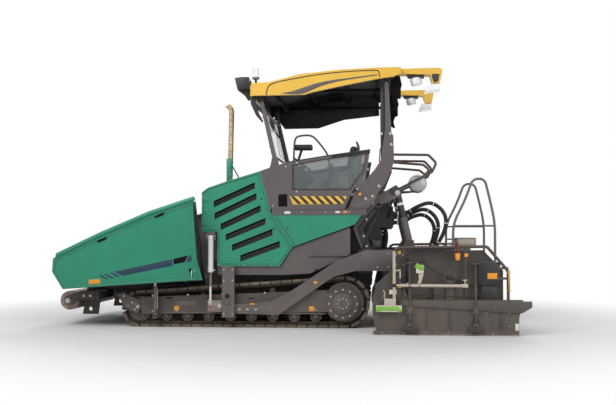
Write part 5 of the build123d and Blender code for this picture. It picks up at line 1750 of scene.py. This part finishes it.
def screed_bolts(shape):
    for y in (0.1, 0.35, 0.6, 0.85, 1.1):
        shape.bolt((2.0905, y, 0.1), AFT)
        shape.bolt((2.0905, y, 0.3), AFT, 0.01)
    for x in (1.628, 1.73):
        for z in (0.46, 0.62, 0.78, 0.94, 1.08):
            shape.bolt((x, 1.25, z), OUT, 0.011)


def walkway(outer, start, end, top, inner, side=None):
    """Open grating: bars along and across on a walkway's top."""
    shape = Shape(side or 1)
    faces = (-outer, outer) if side is None else (inner, outer)
    for x in row(start + 0.01, 0.04, int((end - start) / 0.04)):
        shape.block((x, x + 0.006), faces, (top - 0.001, top + 0.012), 0.001)
    y = faces[0] + 0.01
    while y < faces[1] - 0.01:
        shape.block((start, end), (y, y + 0.004), (top - 0.001, top + 0.009), 0)
        y += 0.085
    return shape


def stair_treads(shape):
    for x, z in ((2.93, 0.6), (2.82, 0.85), (2.7, 1.11)):
        for low in row(x - 0.09, 0.027, 7):
            shape.block((low, low + 0.014), (0.01, 0.295), (z + 0.0295, z + 0.036), 0.002)
        shape.block((x - 0.102, x - 0.098), (0.01, 0.298), (z + 0.004, z + 0.034), 0.001)


def side_plate_ribs(shape):
    # beam along the plate, deeper to the rear, with ribs, lugs and the spindles' guides
    shape.plate([(1.668, 0.4), (1.668, 0.47), (3.27, 0.472), (3.445, 0.466), (3.445, 0.385), (3.31, 0.305)],
        (1.9955, 2.004), 0.003)
    for x in (2.02, 2.33, 3.02):
        shape.plate([(x, 0.1), (x + 0.014, 0.1), (x + 0.014, 0.39), (x, 0.39)], (1.979, 1.995))
    for x in (1.8, 2.69):
        shape.block(about(x, 0.045), (1.9795, 1.992), (0.285, 0.4))
        shape.block(about(x, 0.06), (1.9795, 1.986), (0.52 if x < 2 else 0.4, 0.545 if x < 2 else 0.48))
    shape.plate([(1.64, 0.87), (1.575, 0.87), (1.38, 0.7), (1.315, 0.48), (1.33, 0.478), (1.395, 0.69), (1.58, 0.855),
        (1.632, 0.855)], (1.979, 1.985), 0.001)
    # handwheels on the spindles
    for x, z in ((1.8, 0.985), (2.69, 0.973)):
        shape.ring((x, SPINDLE_Y, z), UP, 0.048, 0.008)
        shape.rod((x - 0.048, SPINDLE_Y, z), (x + 0.048, SPINDLE_Y, z), 0.006, sides=8)
        shape.rod((x, SPINDLE_Y - 0.048, z), (x, SPINDLE_Y + 0.048, z), 0.006, sides=8)
        shape.rod((x, SPINDLE_Y, z - 0.018), (x, SPINDLE_Y, z + 0.018), 0.018, edge=0.002)
        shape.rod((x, SPINDLE_Y, z - 0.42), (x, SPINDLE_Y, z - 0.03), 0.0175)
    shape.plate([(2.29, 0.48), (2.404, 0.48), (2.39, 0.745), (2.304, 0.745)], (1.979, 1.988), 0.003)


def side_plate_bolts(shape):
    shape.bolts([(1.42 + index * 0.3, 0.034) for index in range(6)], 1.9945, 0.007)
    shape.bolts([(1.775, 0.305), (1.825, 0.305), (1.775, 0.375), (1.825, 0.375), (2.665, 0.305), (2.715, 0.305),
        (2.665, 0.375), (2.715, 0.375)], 1.9925, 0.008)


def spindle_shoes(shape):
    """Feet of the height spindles."""
    for x in (1.8, 2.69):
        shape.plate([(x - 0.105, 0.055), (x - 0.085, 0.04), (x + 0.085, 0.04), (x + 0.105, 0.055), (x + 0.105, 0.1),
            (x + 0.06, 0.138), (x - 0.06, 0.138), (x - 0.105, 0.1)], (1.981, 2.036), 0.006)
        shape.rod((x, SPINDLE_Y, 0.13), (x, SPINDLE_Y, 0.225), 0.03, 0.02, 24, 0.003)


def duct_flange(shape):
    """Round flange of the heating duct."""
    shape.turned((2.347, 1.981, 0.785), OUT, [(0, 0.068), (0, 0.096), (0.016, 0.096), (0.02, 0.088), (0.02, 0.068)],
        40)
    for step in range(6):
        turn = math.tau * step / 6
        shape.bolt((2.347 + 0.08 * math.cos(turn), 2.0005, 0.785 + 0.08 * math.sin(turn)), OUT, 0.005)


def extension_tube_rings(shape):
    x = 2.26 if shape.side < 0 else 2.44
    for y in (1.09, 1.86):
        shape.turned((x, y, 0.57), OUT, [(0, 0.0605), (0, 0.078), (0.03, 0.078), (0.036, 0.0605)], 40)


def side_plate_runner(shape):
    shape.plate([(1.35, 0.001), (3.268, 0.001), (3.268, 0.014), (1.35, 0.014)], (1.934, 1.997), 0.004)


def side_plate_labels(shape):
    shape.block((1.63, 1.69), (1.979, 1.983), (0.64, 0.69), 0.0008)
    shape.block((2.545, 2.595), (1.975, 1.979), (1.07, 1.115), 0.0008)
    shape.block((1.64, 1.682), (1.952, 1.956), (1.105, 1.145), 0.0008)
    shape.block((2.858, 2.99), (1.9455, 1.948), (0.768, 0.848), 0.0006)


def side_plate_end(shape):
    shape.block((3.222, 3.27), (1.979, 1.984), (0.07, 0.165), 0.001)


def extension_folds(shape):
    shape.block((2.135, 2.605), (0.722, 1.936), (0.369, 0.378))
    for y in row(0.86, 0.22, 5):
        shape.block((2.6195, 2.632), (y, y + 0.016), (0.1, 0.31), 0.002)
        shape.bolt((2.6205, y + 0.08, 0.14), AFT, 0.011)
        shape.bolt((2.6205, y + 0.08, 0.28), AFT, 0.009)
    for y in (1.14, 1.5):
        shape.block((2.2, 2.34) if shape.side > 0 else (2.38, 2.54), (y, y + 0.26), (0.377, 0.45), 0.008)


def control_box(shape):
    shape.block((2.722, 3.032), (1.864, 1.946), (0.675, 0.998), 0.01)
    shape.block((2.77, 2.985), (1.944, 1.952), (0.48, 0.665), 0.006)
    # cable glands under the keys
    for x in (2.8, 2.95):
        shape.rod((x, 1.9, 0.69), (x, 1.9, 0.655), 0.014, sides=12)


def control_buttons(shape):
    for x in row(2.79, 0.06, 4):
        for y in row(1.885, 0.022, 3):
            shape.rod((x, y, 0.997), (x, y, 1.0045), 0.008, 0.007, 16, 0.001)


def sensor_head(shape):
    shape.plate([(1.335, 0.33), (1.345, 0.396), (1.64, 0.4), (1.692, 0.35), (1.69, 0.322), (1.64, 0.322),
        (1.62, 0.336), (1.41, 0.336), (1.395, 0.322), (1.34, 0.322)], (SENSOR_Y - 0.028, SENSOR_Y + 0.0285), 0.006)
    # box head, tilted on its arm
    shape.plate([(1.862, 0.93), (1.965, 0.871), (2.002, 0.931), (1.899, 0.99)], (SENSOR_Y - 0.024, SENSOR_Y + 0.0285),
        0.008)
    for x in row(1.385, 0.065, 5):
        shape.rod((x, SENSOR_Y, 0.326), (x, SENSOR_Y, 0.314), 0.018, sides=20)


def sensor_clamps(shape):
    for z in ((0.43, 0.47), (0.655, 0.705)):
        shape.block((1.56, 1.616), (SENSOR_Y - 0.025, SENSOR_Y + 0.0257), z, 0.004)
    shape.rod((1.588, SENSOR_Y, 1.15), (1.588, SENSOR_Y, 1.178), 0.02, edge=0.003)
    for x in (1.8, 2.56):
        shape.block(about(x, 0.022), about(SENSOR_Y, 0.02), (0.66, 0.7), 0.004)
    shape.block((1.905, 1.955), about(SENSOR_Y, 0.018), (0.658, 0.7), 0.004)


def sensor_boxes(shape):
    shape.block((1.452, 1.612), (SENSOR_Y - 0.026, SENSOR_Y + 0.027), (0.401, 0.5), 0.008)
    shape.tube([(1.47, SENSOR_Y, 0.495), (1.44, SENSOR_Y, 0.53), (1.47, SENSOR_Y, 0.575), (1.44, SENSOR_Y, 0.61)],
        0.008)
    shape.rod((1.588, SENSOR_Y, 0.495), (1.588, SENSOR_Y, 1.15), 0.021)
    shape.rod((1.66, SENSOR_Y, 0.68), (2.51, SENSOR_Y, 0.678), 0.0215)
    shape.block((1.6, 1.68), about(SENSOR_Y, 0.012), (0.875, 0.893))
    shape.block((1.66, 1.68), about(SENSOR_Y, 0.012), (0.775, 0.9))
    shape.plate([(1.9, 0.69), (1.945, 0.69), (1.99, 0.85), (1.95, 0.862)], about(SENSOR_Y, 0.014), 0.003)
    shape.block((2.5, 2.585), (SENSOR_Y - 0.026, SENSOR_Y + 0.0265), (0.655, 0.705), 0.005)
    shape.rod((2.545, SENSOR_Y, 0.7), (2.545, SENSOR_Y, 0.75), 0.008, sides=12)
    shape.rod((2.515, SENSOR_Y, 0.755), (2.575, SENSOR_Y, 0.755), 0.009, sides=12)


def lamp_handle(shape):
    shape.rod((2.452, 1.998, 1.12), (2.452, 2.003, 1.265), 0.024, 0.015, 20, 0.003)


def sensor_cables(shape):
    # harness that comes up beside the tower and runs under the guard rail
    shape.tube([(1.7, 1.975, 0.51), (1.69, 1.975, 0.9), (1.7, 1.975, 1.05), (1.79, 1.97, 1.14), (2.0, 1.965, 1.152),
        (2.43, 1.965, 1.155), (2.452, 1.985, 1.13)], 0.015)
    # cable wound round the guard rail
    coil = []
    for step in range(45):
        turn = math.tau * step / 8
        coil.append((1.7 + step * 0.0165, 1.96 + 0.031 * math.cos(turn), 1.168 + 0.031 * math.sin(turn)))
    shape.tube(coil, 0.006)
    shape.tube([(1.935, SENSOR_Y, 0.955), (1.935, SENSOR_Y, 1.0), (1.99, 2.0, 1.01), (2.08, 1.962, 0.9),
        (2.3, 1.935, 0.8), (2.56, 1.925, 0.7), (2.74, 1.912, 0.64), (2.8, 1.9, 0.64), (2.8, 1.9, 0.67)], 0.008)
    shape.tube([(1.65, SENSOR_Y, 0.405), (1.66, SENSOR_Y, 0.47), (1.7, 2.015, 0.52), (2.0, 2.0, 0.56),
        (2.4, 1.994, 0.52), (2.76, 1.994, 0.54), (2.93, 1.95, 0.6), (2.95, 1.9, 0.625), (2.95, 1.9, 0.67)], 0.008)


class PAVER_OT_screed(bpy.types.Operator):
    """Bolts, spindles, boxes, lamps and rails' fittings of the screed and its extensions"""

    bl_idname = "paver.screed"
    bl_label = "Screed"

    def execute(self, context):
        both(screed_folds, "dark", "screed")
        both(screed_bolts, "zinc", "screed")
        walkway(1.175, 2.66, 3.23, 0.36, 0.0).piece("walkway_grating", "chassis", "screed", "paint_dark")
        both(stair_treads, "aluminium", "screed")
        box = Shape()
        box.block((2.58, 2.882), (-0.332, 0.332), (1.316, 1.3245), 0.004)
        box.block((2.6, 2.86), (-0.3335, 0.3335), (1.215, 1.305), 0.006)
        for y in (-0.2, 0.2):
            box.block((2.878, 2.886), about(y, 0.03), (1.255, 1.295), 0.002)
        box.piece("screed_locker", "pale_box", "screed")
        for name, side in SIDES:
            body = f"extension_{name}"
            one(side, side_plate_ribs, "dark", body)
            one(side, side_plate_bolts, "zinc", body)
            one(side, extension_tube_rings, "chrome", body)
            one(side, spindle_shoes, "black", body)
            one(side, duct_flange, "iron", body, "aluminium")
            one(side, side_plate_runner, "steel", body)
            one(side, side_plate_labels, "orange", body)
            one(side, side_plate_end, "white", body)
            one(side, control_box, "black", body)
            one(side, control_buttons, "grey_plastic", body)
            gold = Shape(side)
            gold.rod((3.14, 1.992, 0.594), (3.14, 1.992, 0.892), 0.016, edge=0.002)
            for z in ((0.606, 0.622), (0.85, 0.866)):
                gold.block((3.118, 3.162), (1.96, 2.0), z, 0.002)
            gold.piece(f"rail_strut_{name}", "gold", body)
            amber = Shape(side)
            amber.turned((2.452, 1.994, 1.018), UP, [(0, 0.0005), (0.004, 0.026), (0.03, 0.036), (0.1, 0.038),
                (0.104, 0.0005)], 28)
            amber.piece(f"rail_lamp_{name}", "amber", body)
            one(side, sensor_head, "lime", body)
            one(side, sensor_clamps, "black", body)
            one(side, sensor_boxes, "pale_box", body)
            one(side, lamp_handle, "maroon", body)
            one(side, sensor_cables, "hose", body)
            walkway(1.935, 2.665, 3.08, 0.415, 1.305, side).piece(f"extension_grating_{name}", "chassis", body,
                "paint_dark")
            one(side, extension_folds, "dark", body)
        return {"FINISHED"}


# ---- hoses

HOSE_ROUTES = {
    "hose_outer": ((1.6, -0.6, 1.69), (1.8, -0.6, 1.69), (1.96, -0.604, 1.8), (2.19, -0.61, 1.88),
                   (2.4, -0.612, 1.7), (2.4, -0.608, 1.45), (2.24, -0.602, 1.17), (2.04, -0.6, 0.925),
                   (1.8, -0.6, 0.925)),
    "hose_middle": ((1.6, -0.5, 1.64), (1.79, -0.5, 1.64), (1.91, -0.504, 1.72), (2.11, -0.508, 1.78),
                    (2.29, -0.507, 1.61), (2.29, -0.504, 1.39), (2.17, -0.501, 1.13), (2.02, -0.5, 0.925),
                    (1.8, -0.5, 0.925)),
    "hose_inner": ((1.6, -0.405, 1.56), (1.77, -0.405, 1.56), (1.87, -0.408, 1.64), (2.08, -0.412, 1.7),
                   (2.24, -0.41, 1.54), (2.23, -0.407, 1.32), (2.12, -0.405, 1.09), (2.0, -0.405, 0.925),
                   (1.8, -0.405, 0.925)),
}
# points round a hose, the spacing of its rings and how many of them stay smooth at each end
HOSE_SIDES, HOSE_STEP, SMOOTH_END = 20, 0.006, 10


def hose_path(route):
    """Evenly spaced points along the smooth line of a route."""
    mesh = bent_line(route, 40)
    fine = [vert.co.copy() for vert in mesh.vertices]
    bpy.data.meshes.remove(mesh)
    spaced, walked = [fine[0]], 0.0
    for first, last in zip(fine, fine[1:]):
        run = (last - first).length
        while walked + run >= HOSE_STEP * len(spaced):
            spaced.append(first.lerp(last, (HOSE_STEP * len(spaced) - walked) / run))
        walked += run
    spaced[-1] = fine[-1]
    return spaced


def frames(path):
    """Matrices that carry a ring from point to point without twisting."""
    across = Vector(OUT)
    for index, point in enumerate(path):
        ahead = (path[min(index + 1, len(path) - 1)] - path[max(index - 1, 0)]).normalized()
        across = (across - ahead * across.dot(ahead)).normalized()
        yield Matrix.Translation(point) @ Matrix((across, ahead.cross(across), ahead)).transposed().to_4x4()


def corrugated(path, width):
    """A hose with fine ribs round it and smooth ends."""
    shape = Shape()
    before = None
    for index, place in enumerate(frames(path)):
        smooth = index < SMOOTH_END or index >= len(path) - SMOOTH_END
        radius = width / 2 - (0.0 if smooth or index % 2 else 0.0035)
        ring = bmesh.ops.create_circle(shape.mesh, cap_ends=False, segments=HOSE_SIDES, radius=radius,
            matrix=place)["verts"]
        if before:
            for first in range(HOSE_SIDES):
                last = (first + 1) % HOSE_SIDES
                shape.mesh.faces.new((before[first], before[last], ring[last], ring[first]))
        else:
            shape.mesh.faces.new(ring)
        before = ring
    shape.mesh.faces.new(before)
    return shape


def hose_ties(path, radius):
    """Clips along a hose and a sleeve at each of its ends."""
    shape = Shape()
    places = list(frames(path))
    for share in (0.14, 0.33, 0.52, 0.68, 0.86):
        place = places[int(len(places) * share)]
        axis = place.to_3x3().col[2]
        shape.collar(place.translation - axis * 0.006, axis, radius - 0.002, radius + 0.004, 0.012, 28)
        lump = place.to_3x3().col[0] * (radius + 0.004)
        shape.rod(place.translation + lump - axis * 0.008, place.translation + lump + axis * 0.008, 0.007, sides=8)
    for place in (places[12], places[-13]):
        axis = place.to_3x3().col[2]
        shape.collar(place.translation - axis * 0.012, axis, radius - 0.001, radius + 0.006, 0.024)
    return shape


class PAVER_OT_hoses(bpy.types.Operator):
    """Three corrugated hoses with their ties, from the valve blocks down to the screed"""

    bl_idname = "paver.hoses"
    bl_label = "Hoses"

    def execute(self, context):
        width = context.scene.paver_wear.hose_width
        for name, route in HOSE_ROUTES.items():
            path = hose_path(route)
            steps = [(last - first).length for first, last in zip(path, path[1:])]
            hose = corrugated(path, width).piece(f"{name}_line", "hose", None)
            ties = hose_ties(path, width / 2).piece(f"{name}_ties", "white", None, "bright_steel")
            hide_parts(name)
            for thing in (hose, ties):
                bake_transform(thing)
        return {"FINISHED"}


# ---- stage

def studio_floor():
    """A wide floor that fades into the white round it where the camera sees it."""
    shape = Shape()
    bmesh.ops.create_circle(shape.mesh, cap_ends=True, segments=64, radius=60,
        matrix=Matrix.Translation((0, 0, -0.001)))
    finish = Finish("studio_floor")
    grain = finish.noise(2.5, 6)
    finish.set(Base_Color=finish.mix(grain, (0.74, 0.73, 0.72), (0.8, 0.79, 0.78)), Roughness=0.85)
    out = finish.tree.nodes["Material Output"]
    paths = finish.node("LightPath", output="Is Camera Ray")
    paths = paths.most(finish.node("LightPath", output="Is Glossy Ray"))
    paths = paths.most(finish.node("LightPath", output="Is Transmission Ray"))
    spread = finish.node("VectorMath", {"operation": "LENGTH"}, {0: finish.place}, output="Value")
    white = finish.tree.nodes.new("ShaderNodeEmission")
    white.inputs["Color"].default_value = (1, 1, 1, 1)
    blend = finish.tree.nodes.new("ShaderNodeMixShader")
    finish.feed(blend.inputs[0], paths * spread.rise(3.6, 7.5))
    finish.tree.links.new(finish.shader.outputs[0], blend.inputs[1])
    finish.tree.links.new(white.outputs[0], blend.inputs[2])
    finish.tree.links.new(blend.outputs[0], out.inputs["Surface"])
    mesh = shape.data("studio_floor")
    mesh.materials.append(finish.material)
    return show("studio_floor", mesh)


def sky(scene):
    world = bpy.data.worlds.new("studio")
    world.use_nodes = True
    tree = world.node_tree
    shader = tree.nodes["Background"]
    paths = tree.nodes.new("ShaderNodeLightPath")
    mix = tree.nodes.new("ShaderNodeMix")
    mix.data_type = "RGBA"
    mix.inputs[6].default_value = (0.36, 0.375, 0.39, 1)
    mix.inputs[7].default_value = (1, 1, 1, 1)
    seen = paths.outputs["Is Camera Ray"]
    for kind in ("Is Glossy Ray", "Is Transmission Ray"):
        either = tree.nodes.new("ShaderNodeMath")
        either.operation = "MAXIMUM"
        tree.links.new(seen, either.inputs[0])
        tree.links.new(paths.outputs[kind], either.inputs[1])
        seen = either.outputs[0]
    tree.links.new(seen, mix.inputs[0])
    tree.links.new(mix.outputs[2], shader.inputs["Color"])
    scene.world = world


class PAVER_OT_stage(bpy.types.Operator):
    """Pale floor, soft lamps and the camera"""

    bl_idname = "paver.stage"
    bl_label = "Stage"

    def execute(self, context):
        stage = context.scene.paver_stage
        floor = studio_floor()
        sky(context.scene)
        for name, place, aim, size, power in (("key_lamp", (-5.0, -9.0, 9.5), (0, 0, 1.2), 7.0, 830),
                ("fill_lamp", (8.0, -9.0, 4.0), (0, 0, 1.2), 6.0, 290), ("rim_lamp", (2.0, 9.0, 8.0), (0, 0, 1.5),
                7.0, 480)):
            data = bpy.data.lights.new(name, "AREA")
            data.shape = "DISK"
            data.size = size
            data.energy = power * stage.light
            lamp = show(name, data)
            lamp.location = place
            lamp.rotation_euler = (Vector(aim) - Vector(place)).to_track_quat("-Z", "Y").to_euler()
        data = bpy.data.cameras.new("camera")
        data.sensor_width = 36
        data.lens = stage.lens
        data.clip_end = 200
        camera = show("camera", data)
        camera.location = stage.eye
        camera.rotation_euler = (math.pi / 2 + stage.tilt, 0, stage.turn)
        context.scene.camera = camera
        context.scene.view_settings.view_transform = "Standard"
        return {"FINISHED"}


# ---- panel

STEPS = (PAVER_OT_coats, PAVER_OT_tracks, PAVER_OT_hopper, PAVER_OT_hood, PAVER_OT_cab, PAVER_OT_seats, PAVER_OT_roof,
    PAVER_OT_towing, PAVER_OT_rear, PAVER_OT_augers, PAVER_OT_screed, PAVER_OT_hoses, PAVER_OT_stage)


class PAVER_PT_panel(bpy.types.Panel):
    """Sidebar panel with the settings and one button for each piece"""

    bl_label = "Asphalt Paver"
    bl_idname = "PAVER_PT_panel"
    bl_space_type = "VIEW_3D"
    bl_region_type = "UI"
    bl_category = "Paver"

    def draw(self, context):
        for title, group in (("Colours", context.scene.paver_colours), ("Wear", context.scene.paver_wear),
                ("Stage", context.scene.paver_stage)):
            box = self.layout.box()
            box.label(text=title)
            for name in group.bl_rna.properties.keys():
                if name not in ("rna_type", "name"):
                    box.prop(group, name)
        column = self.layout.column(align=True)
        for step in STEPS:
            column.operator(step.bl_idname)


CLASSES = (PaverColours, PaverWear, PaverStage, *STEPS, PAVER_PT_panel)


def register():
    for item in CLASSES:
        bpy.utils.register_class(item)
    bpy.types.Scene.paver_colours = bpy.props.PointerProperty(type=PaverColours)
    bpy.types.Scene.paver_wear = bpy.props.PointerProperty(type=PaverWear)
    bpy.types.Scene.paver_stage = bpy.props.PointerProperty(type=PaverStage)


def unregister():
    del bpy.types.Scene.paver_stage
    del bpy.types.Scene.paver_wear
    del bpy.types.Scene.paver_colours
    for item in reversed(CLASSES):
        bpy.utils.unregister_class(item)


def main():
    register()
    bpy.ops.paver.coats()
    bpy.ops.paver.tracks()
    bpy.ops.paver.hopper()
    bpy.ops.paver.hood()
    bpy.ops.paver.cab()
    bpy.ops.paver.seats()
    bpy.ops.paver.roof()
    bpy.ops.paver.towing()
    bpy.ops.paver.rear()
    bpy.ops.paver.augers()
    bpy.ops.paver.screed()
    bpy.ops.paver.hoses()
    bpy.ops.paver.stage()


if __name__ == "__main__":
    main()
